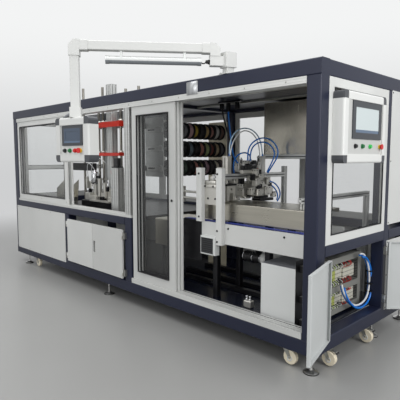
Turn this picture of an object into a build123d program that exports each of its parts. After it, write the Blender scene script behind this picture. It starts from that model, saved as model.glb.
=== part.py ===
from build123d import *
from math import cos, radians, sin
import os

os.makedirs("parts", exist_ok=True)

# Frame, in millimetres: a box of square tube on levelling feet
frame_length = 4520
frame_depth = 1500
frame_top = 1970
floor_gap = 120
tube = 100
tube_wall = 4
tube_round = 9
rail_tube = 75
mid_rail_top = 825
door_post_left = 1335
door_post = 80
step_post_left = 2490
end_post_near = 955
end_post = 90
tray_thick = 3
cap_gap = 0.3

# Slotted aluminium section used for beams, uprights and stands
slot_module = 40
slot_mouth = 8
slot_lip = 4.5
slot_pocket = 16
slot_pocket_deep = 5
section_round = 2

# Door rails of bright extrusion
rail_high = 43
rail_deep = 95
sill_high = 26
groove_wide = 9
groove_deep = 8
groove_pitch = 28
mullion_deep = 90

# Swinging leaves and sheet panels
sheet = 2
pan_deep = 22
pan_bend = 4
pan_lip = 14
panel_low = 196
panel_high = 752
panel_edge = 40
panel_round = 6
leaf_gap = 6
leaf_start = 8
door_clear = 5
hinge_round = 12
hinge_tall = 60
hinge_leaf = 34
hinge_plate = 3
hinge_inset = 25
pin_round = 6
cabinet_top = 703
cabinet_bottom = 240
handle_tall = 104
handle_wide = 18
handle_level = 480
handle_inset = 40
end_leaf_top = 742
end_leaf_bottom = 228
end_left_hinge = 103
end_left_width = 441
end_right_width = 408
end_left_open = 165
end_right_open = 135

# Glazed frames
glass_thick = 6
guard_wide = 1290
stile = 60
door_stile = 78
frame_thick = 22
frame_round = 4
glaze_inset = 30
back_glaze = 60
door_stagger = 10
door_running = 0.5
door_count = 3
door_overlap = 20
knob_round = 22
knob_proud = 4
knob_level = 1023
window_bar = 45
window_bar_level = 1222

# Suspension arm and pendant box
column_x = 3735
column_y = 53
column_wide = 62
column_turn = -14
column_flange = 100
flange_thick = 10
arm_spindle = 36
arm_level = 2147
arm_length = 1076
arm_heading = 52
arm_tube = 62
arm_round = 6
housing_wide = 90
housing_tall = 105
housing_top = 2122
link_tall = 66
elbow_reach = 98
elbow_wide = 74
elbow_chamfer = 38
collar_long = 56
collar_wide = 70
coupling_wide = 78
coupling_tall = 70
spigot_round = 30
pendant_wide = 364
pendant_tall = 310
pendant_deep = 88
pendant_top = 1655
pendant_turn = 9
lamp_round = 54
lamp_length = 670
lamp_start = 196
lamp_level = 2056
lamp_hanger = 18
lamp_hangers = (110, 552)

# Operator box on the right end, and the enclosure parts that both boxes share
box_near = 140
box_wide = 590
box_bottom = 1342
box_tall = 446
box_deep = 80
cap_round = 26
panel_inset = 10
bezel_proud = 7
bezel_round = 5
bezel_rim = 40
bar_wide = 50
edge_round = 14
button_round = 22
collar_round = 30
button_proud = 16
mushroom_round = 36
mushroom_proud = 24
screen_sink = 2
box_screen = (408, 239)
box_screen_at = (25, 50)
box_button_row = -115
box_buttons = (-131, -35, 73, 219)
pendant_screen_size = (220, 140)
pendant_screen_at = (0, 30)
pendant_button_row = -74
pendant_buttons = (-84, -28, 28, 84)

# Electrical parts in the lower right end
plate_depth = 212
plate_thick = 3
duct_deep = 58
duct_wide = 44
duct_slot = 8
duct_slot_pitch = 20
duct_slots = 12
terminal_wide = 12
terminal_deep = 46
terminal_tall = 92
terminal_count = 12
rail_strip = 35
duct_levels = (240, 400, 610)
terminal_levels = (342, 524)

# Conveyor
conveyor_near = 160
conveyor_reach = 1162
conveyor_stop = 180
conveyor_plate_top = 862
conveyor_plate_high = 160
conveyor_plate_thick = 8
conveyor_wide = 520
leg_side = 50
belt_wide = 50
belt_thick = 6
belt_drop = 96
belt_lead = 250
belt_proud = 8
end_panel_low = 530
trough_top = 1016
trough_deep = 380
trough_wall = 3
trough_lip = 16
post_side = 60
post_deep = 40
near_post = 906
far_post = 1135
post_top = 1296

# Reel rack
reel_x = 2770
reel_first_y = 290
reel_last_y = 1010
reel_levels = (1278, 1457, 1630)
reel_round = 155
reel_flange = 4
reel_cores = (128, 136, 118, 130, 122, 112, 134, 126)
reel_wide = 60
reel_pitch = 72
spindle_round = 20
spindle_out = 26
spindle_gap = 60
rack_plate = 12
rack_wide = 258
rack_low = 1200
rack_top = 1745
rack_ring = 34

# Gantry, grippers and hood
gantry_top = 1246
gantry_far = 1034
gantry_post_top = 1300
cylinder_side = 56
cylinder_tall = 170
cap_deep = 14
gripper_places = (320, 770)
gripper_top = 1150
gripper_mid = 1090
gripper_low = 1026
gripper_wide = 100
slide_low = 1000
slide_top = 1134
slide_rods = (1037, 1090)
end_rail_reach = 300
end_rail_far = 1300
hood_reach = 1150
hood_near = 940
hood_wall = 3
hood_low = 1405
hood_round = 25

# Left station
station_reach = 2970
station_near = 500
station_base_level = 800
base_inset = 520
station_column_wide = 108
station_column_top = 2200
station_rod = 30
station_rods = ((3590, 2220), (3244, 2060), (3155, 2190), (3060, 2100), (2793, 2090), (2690, 2124), (2455, 2127))
station_rail_levels = (1025, 1187)
red_reach = 3030
red_wide = 560
red_deep = 120
red_levels = ((1396, 1430), (1722, 1780))
front_column_reach = 2465
front_column_near = 225
front_column_top = 1272
motor_tall = 88
beam_far = 3937
beam_near = 3383
black_beam_level = 1218
drum_reach = 3400
drum_round = 130
drum_low = 873
drum_top = 1090
chute_places = (300, 500)
chute_wall = 3
chute_outline = ((3968, 800), (3800, 800), (3762, 1007), (3757, 1097), (3955, 989))
chute_slope = ((3945, 960), (3790, 875))

# Boxes in front of and under the conveyor
lower_far = 520
lower_near = 225
lower_front = 120
lower_deep = 300
lower_top = 633
control_wide = 160
control_tall = 148
control_deep = 50
control_top = 754

# Pressure hoses and the cable loop in the end cabinet
hose_round = 8
hose_bend = 28
hose_rise = 110
hose_swing = 220
hose_gap = 24
hose_span = 140
cable_gap = 14
cable_out = 70
cable_start = (760, 632)
cable_end = (440, 422)
cable_route = ((920, 560), (930, 420), (910, 310), (800, 236), (660, 234), (530, 310))

# Ground contact
foot_disc = 100
foot_stud = 16
foot_inset = 50
foot_left_inset = 240
foot_mid = 2130
foot_end = 910
foot_pad = 6
foot_dome = 22
nut_across = 24
nut_tall = 13
wheel_round = 100
wheel_wide = 32
wheel_clear = 8
caster_trail = 35
caster_left_inset = 500
caster_near = 240
caster_side = (215, 750)
crown_clear = 4
crown_round = 54
fork_long = 44
plate_long = 84
plate_wide = 66
brake_reach = 86
brake_tread = 14
tread_round = 5
hub_round = 28
seat_gap = 0.3
fork_plate = 3
caster_plate = 5
axle_round = 8
king_round = 12
pin_clear = 0.05

# Places worked out from the sizes above
leaf_face = door_clear + pan_deep
right_reach = (end_right_width - leaf_gap / 2) * sin(radians(end_right_open)) + leaf_face
right_reach += pan_deep * abs(cos(radians(end_right_open)))
front_reach = arm_length * sin(radians(arm_heading)) - column_y
front_reach += (pendant_deep * cos(radians(pendant_turn)) + pendant_wide * sin(radians(pendant_turn))) / 2
x_right = (frame_length + right_reach) / 2 - right_reach
x_left = x_right - frame_length
y_front = -(frame_depth + front_reach) / 2 + front_reach
y_back = y_front + frame_depth
ring_bottom = frame_top - tube
base_top = floor_gap + tube
inner_front = y_front + tube
inner_back = y_back - tube
mid_rail_bottom = mid_rail_top - rail_tube


def block(x, y, z):
    """A box between two limits on each axis."""
    with Locations(((x[0] + x[1]) / 2, (y[0] + y[1]) / 2, (z[0] + z[1]) / 2)):
        Box(x[1] - x[0], y[1] - y[0], z[1] - z[0])


def square_tube(plane, centre, wide, high, length):
    """A rounded hollow tube, drawn on a plane and drawn out along its normal."""
    with BuildSketch(plane) as outline:
        with Locations(centre):
            RectangleRounded(wide, high, tube_round)
            Rectangle(wide - 2 * tube_wall, high - 2 * tube_wall, mode=Mode.SUBTRACT)
    extrude(outline.sketch, amount=length)


def tube_x(x0, x1, y, z, wide=tube, high=tube):
    square_tube(Plane.YZ.offset(x0), (y, z), wide, high, x1 - x0)


def tube_y(y0, y1, x, z, wide=tube, high=tube):
    square_tube(Plane.XZ.offset(-y1), (x, z), wide, high, y1 - y0)


def post(x, y, z0, z1, wide=tube, deep=tube):
    square_tube(Plane.XY.offset(z0), (x, y), wide, deep, z1 - z0)


def save(builder, node):
    builder.part.label = node
    export_step(builder.part, f"parts/{node}.step")


def slot_cuts(wide, high, turned):
    """The lipped slots in two opposite faces of an extrusion, one for each module of its width."""
    count = max(1, round(wide / slot_module))
    for k in range(count):
        along = (k - (count - 1) / 2) * wide / count
        for side in (-1, 1):
            mouth = side * (high - slot_lip) / 2
            pocket = side * ((high - slot_pocket_deep) / 2 - slot_lip)
            for across, deep, place in ((slot_mouth, slot_lip, mouth), (slot_pocket, slot_pocket_deep, pocket)):
                with Locations((place, along) if turned else (along, place)):
                    Rectangle(deep if turned else across, across if turned else deep, mode=Mode.SUBTRACT)


def slotted_bar(plane, centre, wide, high, length):
    """A slotted aluminium extrusion, drawn on a plane and drawn out along its normal."""
    with BuildSketch(plane) as outline:
        with Locations(centre):
            RectangleRounded(wide, high, section_round)
            slot_cuts(wide, high, False)
            slot_cuts(high, wide, True)
    extrude(outline.sketch, amount=length)


def rod(plane, centre, size, length):
    """A round rod, drawn on a plane and drawn out along its normal."""
    with BuildSketch(plane) as outline:
        with Locations(centre):
            Circle(size / 2)
    extrude(outline.sketch, amount=length)


def hose(*points):
    """A pressure hose: straight runs with bent corners, through points in the machine's frame."""
    with BuildLine() as route:
        FilletPolyline(*points, radius=hose_bend)
    start = Plane(origin=route.line @ 0, z_dir=route.line % 0)
    with BuildSketch(start) as outline:
        Circle(hose_round / 2)
    sweep(outline.sketch, path=route.line)


door_post_mid = x_left + door_post_left + door_post / 2
step_post_mid = x_left + step_post_left + tube / 2
end_post_mid = y_front + end_post_near + end_post / 2
front_line = y_front + tube / 2
back_line = y_back - tube / 2
left_line = x_left + tube / 2
right_line = x_right - tube / 2

# Frame tubes along the length
with BuildPart() as frame_long_tubes:
    for line in (front_line, back_line):
        tube_x(x_left, x_right, line, floor_gap + tube / 2)
        tube_x(x_left, x_right, line, ring_bottom + tube / 2)
    for line in (front_line, back_line):
        tube_x(x_left + tube, step_post_mid - tube / 2, line, mid_rail_top - rail_tube / 2, tube, rail_tube)
    tube_x(step_post_mid + tube / 2, x_right - tube, back_line, mid_rail_top - rail_tube / 2, tube, rail_tube)
save(frame_long_tubes, "frame_long_tubes")

# Frame tubes across the depth
with BuildPart() as frame_cross_tubes:
    for x in (left_line, door_post_mid, step_post_mid, right_line):
        tube_y(inner_front, inner_back, x, floor_gap + tube / 2)
        if x != door_post_mid:
            tube_y(inner_front, inner_back, x, ring_bottom + tube / 2)
    tube_y(inner_front, inner_back, left_line, mid_rail_top - rail_tube / 2, tube, rail_tube)
    end_near = end_post_mid - end_post / 2
    tube_y(inner_front, end_near, right_line, mid_rail_top - rail_tube / 2, tube, rail_tube)
    tube_y(end_post_mid + end_post / 2, inner_back, right_line, mid_rail_top - rail_tube / 2, tube, rail_tube)
save(frame_cross_tubes, "frame_cross_tubes")

# Posts between the rings
with BuildPart() as frame_posts:
    for line in (front_line, back_line):
        for x in (left_line, right_line, step_post_mid):
            low_only = x == step_post_mid and line == front_line
            post(x, line, base_top, mid_rail_top if low_only else ring_bottom)
        post(door_post_mid, line, base_top, mid_rail_bottom, door_post, tube)
    post(right_line, end_post_mid, base_top, ring_bottom, tube, end_post)
    plug = tube / 2 - tube_wall - cap_gap
    for line in (front_line, back_line):
        for z in (floor_gap + tube / 2, ring_bottom + tube / 2):
            for x in (x_left, x_right - tube_wall):
                block((x, x + tube_wall), (line - plug, line + plug), (z - plug, z + plug))
save(frame_posts, "frame_posts")

# Sheet floor between the base tubes
with BuildPart() as floor_tray:
    block((x_left + tube, x_right - tube), (inner_front, inner_back), (base_top, base_top + tray_thick))
save(floor_tray, "floor_tray")


def grooved_rail(x0, x1, high, base, groove_sides):
    """An extrusion along the length with running grooves in its top or bottom face."""
    deep = rail_deep
    face = base + high if groove_sides > 0 else base
    with BuildSketch(Plane.YZ.offset(x0)) as outline:
        with Locations((y_front + deep / 2, base + high / 2)):
            Rectangle(deep, high)
        for i in range(door_count):
            y = y_front + deep / 2 + (i - (door_count - 1) / 2) * groove_pitch
            with Locations((y, face - groove_sides * groove_deep / 2)):
                Rectangle(groove_wide, groove_deep, mode=Mode.SUBTRACT)
        for side in (-1, 1):
            with Locations((y_front, base + high / 2 + side * high / 5)):
                Rectangle(section_round * 2, section_round * 2, mode=Mode.SUBTRACT)
    extrude(outline.sketch, amount=x1 - x0)


# Bright rails: under the roof beam, on the base beam, and on the left mid rail
step_right = step_post_mid + tube / 2
left_sill_base = mid_rail_top
with BuildPart() as door_rails:
    grooved_rail(x_left + tube, x_right - tube, rail_high, ring_bottom - rail_high, -1)
    grooved_rail(step_right, x_right - tube, rail_high, base_top, 1)
    grooved_rail(x_left + tube, step_right - 0.5, sill_high, left_sill_base, 1)
save(door_rails, "door_rails")
rail_under = ring_bottom - rail_high
sill_top = left_sill_base + sill_high
track_top = base_top + rail_high

# Slotted upright between the left bays and the sliding doors
with BuildPart() as mullion_post:
    slotted_bar(Plane.XY.offset(sill_top), (step_post_mid, y_front + mullion_deep / 2), door_post, mullion_deep,
                rail_under - sill_top)
save(mullion_post, "mullion_post")


def sheet_panel(plane, across, up):
    """A flat cover with rounded corners, drawn on the frame's face and drawn out from it."""
    with BuildSketch(plane) as outline:
        with Locations(((across[0] + across[1]) / 2, (up[0] + up[1]) / 2)):
            RectangleRounded(across[1] - across[0], up[1] - up[0], panel_round)
    extrude(outline.sketch, amount=sheet)


# Fixed sheet panels on the frame
lower_panel = (panel_low, panel_high)
end_bay = (end_post_mid + end_post / 2 - panel_edge, y_back - panel_edge)
back_face = Plane(origin=(0, y_back, 0), x_dir=(1, 0, 0), z_dir=(0, 1, 0))
with BuildPart() as side_panels:
    sheet_panel(Plane.XZ.offset(-y_front), (x_left + panel_edge, door_post_mid - door_post / 2), lower_panel)
    sheet_panel(Plane.YZ.offset(x_left - sheet), (y_front + panel_edge, y_back - panel_edge), lower_panel)
    for across in ((x_left + panel_edge, step_post_mid - leaf_gap), (step_post_mid + leaf_gap, x_right - panel_edge)):
        sheet_panel(back_face, across, (-panel_high, -panel_low))
    sheet_panel(Plane.YZ.offset(x_right), end_bay, (panel_low, end_leaf_top))
    sheet_panel(Plane.YZ.offset(x_right), end_bay, (mid_rail_top + panel_edge, ring_bottom + leaf_gap))
save(side_panels, "side_panels")

# Pan doors of the left cabinet, hung on cast hinges at their outer edges
cabinet_left = x_left + door_post_left + door_post + 5
cabinet_right = step_post_mid - tube / 2 - 5
cabinet_mid = (cabinet_left + cabinet_right) / 2
axis_out = leaf_face


def local_box(plane, hand, u, v, z):
    """A box in a door's own frame: u along the leaf from its hinge axis, v outwards from the frame."""
    with BuildSketch(plane.offset(z[0])) as outline:
        with Locations(((u[0] + u[1]) / 2, -hand * ((v[0] + v[1]) / 2 - axis_out))):
            Rectangle(u[1] - u[0], v[1] - v[0])
    extrude(outline.sketch, amount=z[1] - z[0])


def local_rod(plane, size, z, bore=0):
    """A round rod or knuckle on the hinge axis."""
    with BuildSketch(plane.offset(z[0])) as outline:
        Circle(size / 2)
        if bore:
            Circle(bore / 2, mode=Mode.SUBTRACT)
    extrude(outline.sketch, amount=z[1] - z[0])


def door_plane(x, y, along, angle=0):
    """The plane on a hinge axis whose x direction runs along the leaf, turned open by an angle."""
    return Plane(origin=(x, y, 0), x_dir=along, z_dir=(0, 0, 1)).rotated((0, 0, angle))


def pan_door(plane, hand, width, z0, z1, hinge_levels):
    """A folded sheet leaf: rounded bends, lips turned in behind, closed ends and its upper hinge knuckles."""
    near = leaf_start
    far = width - leaf_gap / 2
    middle = ((near + far) / 2, hand * pan_deep / 2)
    for start, length, hollow in ((z0, z1 - z0, True), (z0, sheet, False), (z1 - sheet, sheet, False)):
        with BuildSketch(plane.offset(start)) as section:
            with Locations(middle):
                RectangleRounded(far - near, pan_deep, pan_bend)
                if hollow:
                    RectangleRounded(far - near - 2 * sheet, pan_deep - 2 * sheet, pan_bend - sheet, mode=Mode.SUBTRACT)
                    with Locations((0, hand * pan_deep / 2)):
                        Rectangle(far - near - 2 * (sheet + pan_lip), 2 * sheet + 1, mode=Mode.SUBTRACT)
        extrude(section.sketch, amount=length)
    face = axis_out
    for z in hinge_levels:
        upper = (z + hinge_tall / 2 + seat_gap, z + hinge_tall)
        local_box(plane, hand, (hinge_round / 2 + 1, hinge_leaf), (face, face + hinge_plate), (z, z + hinge_tall))
        local_box(plane, hand, (pin_round / 2 + pin_clear, hinge_round / 2 + 1), (face, face + hinge_plate), upper)
        local_rod(plane, hinge_round, upper, pin_round + 2 * pin_clear)


def slot_pull(plane, hand, along, level):
    """An upright recessed pull: a cup behind the leaf's face, with a raised rim and a slot in it."""
    face = Plane(origin=plane.origin, x_dir=plane.x_dir, z_dir=plane.y_dir * -hand)
    rim = 2 * sheet
    for start, amount, extra, how in ((-pan_deep / 2, pan_deep / 2 + sheet, rim, Mode.ADD),
                                      (sheet - pan_deep / 2, pan_deep / 2 + sheet, 0, Mode.SUBTRACT)):
        with BuildSketch(face.offset(start)) as outline:
            with Locations((along, hand * level)):
                RectangleRounded(handle_wide + 2 * extra, handle_tall + 2 * extra, (handle_wide + 2 * extra) / 3)
        extrude(outline.sketch, amount=amount, mode=how)


def hinge_block(plane, hand, hinge_levels):
    """The cast half of each hinge on the frame, with the lower knuckle and the pin."""
    for z in hinge_levels:
        local_box(plane, hand, (-hinge_leaf, -hinge_round / 2 - 1), (0, axis_out - 4), (z, z + hinge_tall))
        lower = (z, z + hinge_tall / 2)
        local_box(plane, hand, (-hinge_round / 2 - 1, 0), (axis_out - 4 - hinge_plate, axis_out - 4), lower)
        local_rod(plane, hinge_round, lower)
        local_rod(plane, pin_round, (z, z + hinge_tall - 1))


cabinet_axis_y = y_front - axis_out
cabinet_levels = (cabinet_bottom + hinge_inset, cabinet_top - hinge_inset - hinge_tall)
left_door_plane = door_plane(cabinet_left, cabinet_axis_y, (1, 0, 0))
right_door_plane = door_plane(cabinet_right, cabinet_axis_y, (-1, 0, 0))
cabinet_half = cabinet_mid - cabinet_left
with BuildPart() as cabinet_door_left:
    pan_door(left_door_plane, 1, cabinet_half, cabinet_bottom, cabinet_top, cabinet_levels)
save(cabinet_door_left, "cabinet_door_left")
with BuildPart() as cabinet_door_right:
    pan_door(right_door_plane, -1, cabinet_half, cabinet_bottom, cabinet_top, cabinet_levels)
    slot_pull(right_door_plane, -1, cabinet_half - handle_inset, handle_level)
save(cabinet_door_right, "cabinet_door_right")


def window_x(x0, x1, z0, z1, y, bar, thick=frame_thick):
    """A glazed frame facing front or back, without its glass."""
    with BuildSketch(Plane.XZ.offset(-y)) as outline:
        with Locations(((x0 + x1) / 2, (z0 + z1) / 2)):
            Rectangle(x1 - x0, z1 - z0)
            Rectangle(x1 - x0 - 2 * bar, z1 - z0 - 2 * bar, mode=Mode.SUBTRACT)
    extrude(outline.sketch, amount=thick, dir=(0, 1, 0))


def window_y(y0, y1, z0, z1, x, bar, thick=frame_thick):
    """A glazed frame facing an end, without its glass."""
    with BuildSketch(Plane.YZ.offset(x)) as outline:
        with Locations(((y0 + y1) / 2, (z0 + z1) / 2)):
            Rectangle(y1 - y0, z1 - z0)
            Rectangle(y1 - y0 - 2 * bar, z1 - z0 - 2 * bar, mode=Mode.SUBTRACT)
    extrude(outline.sketch, amount=thick)


def long_edges(builder):
    """The edges along the bars of a glazed frame, without the short ones at its corners."""
    return builder.edges().filter_by(lambda edge: edge.length > 4 * frame_thick)


def pane_x(x0, x1, z0, z1, y, bar, thick=frame_thick):
    mid = y + thick / 2
    block((x0 + bar, x1 - bar), (mid - glass_thick / 2, mid + glass_thick / 2), (z0 + bar, z1 - bar))


def pane_y(y0, y1, z0, z1, x, bar, thick=frame_thick):
    mid = x + thick / 2
    block((mid - glass_thick / 2, mid + glass_thick / 2), (y0 + bar, y1 - bar), (z0 + bar, z1 - bar))


# Glazed frames: rear bays, left end, right end, and the two guard panels pushed left in their grooves
rear_bays = (
    (x_left + tube, (x_left + tube + step_post_mid - tube / 2) / 2 - 2),
    ((x_left + tube + step_post_mid - tube / 2) / 2 + 2, step_post_mid - tube / 2),
    (step_right, (step_right + x_right - tube) / 2 - 2),
    ((step_right + x_right - tube) / 2 + 2, x_right - tube),
)
glaze_low = mid_rail_top
end_window = (inner_front, end_near)
left_glaze = x_left + glaze_inset
guard_grooves = (y_front + rail_deep / 2 - groove_pitch, y_front + rail_deep / 2 + groove_pitch)
guard_x = (x_left + tube + 5, x_left + tube + 5 + guard_wide)
with BuildPart() as window_frames:
    for x0, x1 in rear_bays:
        window_x(x0, x1, glaze_low, ring_bottom, y_back - back_glaze, stile)
    for y in guard_grooves:
        window_x(*guard_x, sill_top, rail_under, y - frame_thick / 2, stile)
    window_y(inner_front, inner_back, glaze_low, ring_bottom, left_glaze, stile)
    block((left_glaze, left_glaze + frame_thick), (inner_front + stile, inner_back - stile),
          (window_bar_level, window_bar_level + window_bar))
    window_y(*end_window, glaze_low, ring_bottom, x_right - frame_thick, stile)
    fillet(long_edges(window_frames), frame_round)
save(window_frames, "window_frames")
with BuildPart() as window_glass:
    for x0, x1 in rear_bays:
        pane_x(x0, x1, glaze_low, ring_bottom, y_back - back_glaze, stile)
    for y in guard_grooves:
        pane_x(*guard_x, sill_top, rail_under, y - frame_thick / 2, stile)
    for low, high in ((glaze_low, window_bar_level + stile), (window_bar_level + window_bar - stile, ring_bottom)):
        pane_y(inner_front, inner_back, low, high, left_glaze, stile)
    pane_y(*end_window, glaze_low, ring_bottom, x_right - frame_thick, stile)
save(window_glass, "window_glass")

# Tall sliding doors, stacked at the left of their opening
opening_left = step_right + door_overlap
opening_right = x_right - tube
door_wide = (opening_right - opening_left + (door_count - 1) * door_overlap) / door_count
leaf_wide = door_wide - glaze_inset
for i in range(door_count):
    y = y_front + rail_deep / 2 + (i - (door_count - 1) / 2) * groove_pitch - frame_thick / 2
    x0 = opening_left + door_stagger * i
    door_low = track_top + door_running
    door_high = rail_under - door_running
    with BuildPart() as leaf:
        window_x(x0, x0 + leaf_wide, door_low, door_high, y, door_stile)
        fillet(long_edges(leaf), frame_round)
        if i == 0:
            knob_at = (x0 + leaf_wide - door_stile / 2, knob_level)
            for size, proud in ((knob_round, knob_proud), (knob_round * 0.7, knob_proud * 1.5)):
                rod(Plane.XZ.offset(-y), knob_at, size, proud)
    save(leaf, f"sliding_door_{i + 1}")
    with BuildPart() as pane:
        pane_x(x0, x0 + leaf_wide, door_low, door_high, y, door_stile)
    save(pane, f"sliding_door_{i + 1}_glass")


def console_body(plane, wide, tall, deep):
    """An enclosure of extruded bars round an inset front panel, cut away at its corners for the caps."""
    with BuildSketch(plane) as outline:
        Rectangle(wide, tall)
        with GridLocations(wide - bar_wide, tall - bar_wide, 2, 2):
            Rectangle(bar_wide, bar_wide, mode=Mode.SUBTRACT)
    extrude(outline.sketch, amount=deep)
    with BuildSketch(plane.offset(deep - panel_inset)) as recess:
        Rectangle(wide - 2 * bar_wide - 2 * sheet, tall - 2 * bar_wide - 2 * sheet)
    extrude(recess.sketch, amount=panel_inset, mode=Mode.SUBTRACT)


def outer_edges(builder, plane, wide, tall, deep):
    """The long front edges round an enclosure."""
    chosen = ShapeList()
    for edge in builder.edges():
        at = plane.to_local_coords(edge.center())
        on_side = abs(at.X) > wide / 2 - 1 or abs(at.Y) > tall / 2 - 1
        if at.Z > deep - 1 and on_side and edge.length > bar_wide:
            chosen.append(edge)
    return chosen


def console_caps(plane, wide, tall, deep):
    """The four moulded corner caps of an enclosure."""
    with BuildSketch(plane) as outline:
        RectangleRounded(wide, tall, cap_round)
        Rectangle(wide - 2 * bar_wide + 2 * cap_gap, tall, mode=Mode.SUBTRACT)
        Rectangle(wide, tall - 2 * bar_wide + 2 * cap_gap, mode=Mode.SUBTRACT)
    extrude(outline.sketch, amount=deep - sheet)


def console_face(plane, middle, size, buttons):
    """The screen with its raised bezel, and a row of round controls, on an enclosure's inset panel."""
    with BuildSketch(plane) as frame:
        with Locations(middle):
            RectangleRounded(*size, bezel_round)
    extrude(frame.sketch, amount=bezel_proud)
    with BuildSketch(plane.offset(bezel_proud - screen_sink)) as glass:
        with Locations(middle):
            Rectangle(size[0] - 2 * bezel_rim, size[1] - 2 * bezel_rim)
    extrude(glass.sketch, amount=screen_sink, mode=Mode.SUBTRACT)
    for k, at in enumerate(buttons):
        rod(plane, at, collar_round, bezel_proud)
        if k < len(buttons) - 1:
            rod(plane, at, button_round, button_proud)
        else:
            rod(plane, at, button_round, mushroom_proud)
            rod(plane.offset(button_proud), at, mushroom_round, mushroom_proud - button_proud)


# Operator box on the right-end window
box_mid = (y_front + box_near + box_wide / 2, box_bottom + box_tall / 2)
box_plane = Plane(origin=(x_right + seat_gap, *box_mid), x_dir=(0, 1, 0), z_dir=(1, 0, 0))
with BuildPart() as operator_box:
    console_body(box_plane, box_wide, box_tall, box_deep)
    fillet(outer_edges(operator_box, box_plane, box_wide, box_tall, box_deep), edge_round)
save(operator_box, "operator_box")
with BuildPart() as operator_box_controls:
    console_caps(box_plane, box_wide, box_tall, box_deep)
    console_face(box_plane.offset(box_deep - panel_inset), box_screen_at, box_screen,
                 [(x, box_button_row) for x in box_buttons])
save(operator_box_controls, "operator_box_controls")

# Electrical cabinet in the lower right end: plate, ducts and terminals
plate_x = x_right - plate_depth
plate_top = conveyor_plate_top - conveyor_plate_high - wheel_clear
duct_left = inner_front + duct_wide
with BuildPart() as electrics_plate:
    block((plate_x - plate_thick, plate_x), (inner_front, end_near), (base_top + tray_thick, plate_top))
save(electrics_plate, "electrics_plate")


def duct(y, z, slot_side):
    """A wiring duct with finger slots cut into its two long sides. The side runs along Y or along Z."""
    block((plate_x, plate_x + duct_deep), y, z)
    middle = ((y[0] + y[1]) / 2, (z[0] + z[1]) / 2)
    half = ((y[1] - y[0]) / 2, (z[1] - z[0]) / 2)
    for k in range(duct_slots):
        along = (k - (duct_slots - 1) / 2) * duct_slot_pitch
        for side in (-1, 1):
            if slot_side:
                at = (middle[0] + side * half[0], middle[1] + along)
                size = (2 * sheet, duct_slot)
            else:
                at = (middle[0] + along, middle[1] + side * half[1])
                size = (duct_slot, 2 * sheet)
            with Locations((plate_x + duct_deep / 2, *at)):
                Box(duct_deep - 2 * duct_slot, *size, mode=Mode.SUBTRACT)


with BuildPart() as wire_ducts:
    for z in duct_levels:
        duct((duct_left, end_near - 2 * duct_wide), (z, z + duct_wide), False)
    duct((end_near - 2 * duct_wide + cap_gap, end_near - duct_wide), (duct_levels[0], duct_levels[-1] + duct_wide), True)
save(wire_ducts, "wire_ducts")
with BuildPart() as terminal_rows:
    for z in terminal_levels:
        row_y = end_near - 3 * duct_wide
        rail_at = (z - rail_strip / 2, z + rail_strip / 2)
        block((plate_x, plate_x + rail_strip / 4), (duct_left + duct_wide, row_y), rail_at)
        for k in range(2 * terminal_count):
            y = row_y - (k + 1) * (terminal_wide + sheet)
            tall = terminal_tall if k % 8 < 5 else terminal_tall * 0.75
            deep = terminal_deep if k < terminal_count else terminal_deep * 0.7
            block((plate_x + rail_strip / 4, plate_x + deep), (y, y + terminal_wide), (z - tall / 2, z + tall / 2))
save(terminal_rows, "terminal_rows")

# End leaves, hung on the right-end posts and standing open
end_axis_x = x_right + axis_out
end_left_y = y_front + end_left_hinge
end_right_y = end_left_y + end_left_width + end_right_width
end_levels = (end_leaf_bottom + panel_edge, end_leaf_top - panel_edge - hinge_tall)
with BuildPart() as end_leaf_left:
    pan_door(door_plane(end_axis_x, end_left_y, (0, 1, 0), -end_left_open), 1,
             end_left_width, end_leaf_bottom, end_leaf_top, end_levels)
save(end_leaf_left, "end_leaf_left")
with BuildPart() as end_leaf_right:
    pan_door(door_plane(end_axis_x, end_right_y, (0, -1, 0), end_right_open), -1,
             end_right_width, end_leaf_bottom, end_leaf_top, end_levels)
save(end_leaf_right, "end_leaf_right")
with BuildPart() as door_hinges:
    hinge_block(left_door_plane, 1, cabinet_levels)
    hinge_block(right_door_plane, -1, cabinet_levels)
    hinge_block(door_plane(end_axis_x, end_left_y, (0, 1, 0)), 1, end_levels)
    hinge_block(door_plane(end_axis_x, end_right_y, (0, -1, 0)), -1, end_levels)
save(door_hinges, "door_hinges")

# Suspension arm on the front roof beam
column_at = (x_left + column_x, y_front + column_y)
arm_plane = Plane(origin=(*column_at, 0), z_dir=(0, 0, 1)).rotated((0, 0, 180 + arm_heading))
column_plane = Plane(origin=(*column_at, 0), z_dir=(0, 0, 1)).rotated((0, 0, column_turn))
arm_side = Plane(origin=(*column_at, 0), x_dir=arm_plane.x_dir, z_dir=-arm_plane.y_dir)
arm_section = Plane(origin=(*column_at, 0), x_dir=arm_plane.y_dir, z_dir=arm_plane.x_dir)
housing_low = housing_top - housing_tall
beam_start = elbow_reach + elbow_wide / 2
drop_outer = arm_length + elbow_wide / 2
elbow_top = arm_level + elbow_wide / 2
elbow_low = elbow_top - elbow_wide - coupling_tall / 2


def square_bar(plane, centre, side, length, bore=0):
    """A square bar with rounded corners, drawn on a plane and drawn out along its normal."""
    with BuildSketch(plane) as outline:
        with Locations(centre):
            RectangleRounded(side, side, arm_round)
            if bore:
                Circle(bore / 2, mode=Mode.SUBTRACT)
    extrude(outline.sketch, amount=length)


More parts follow.
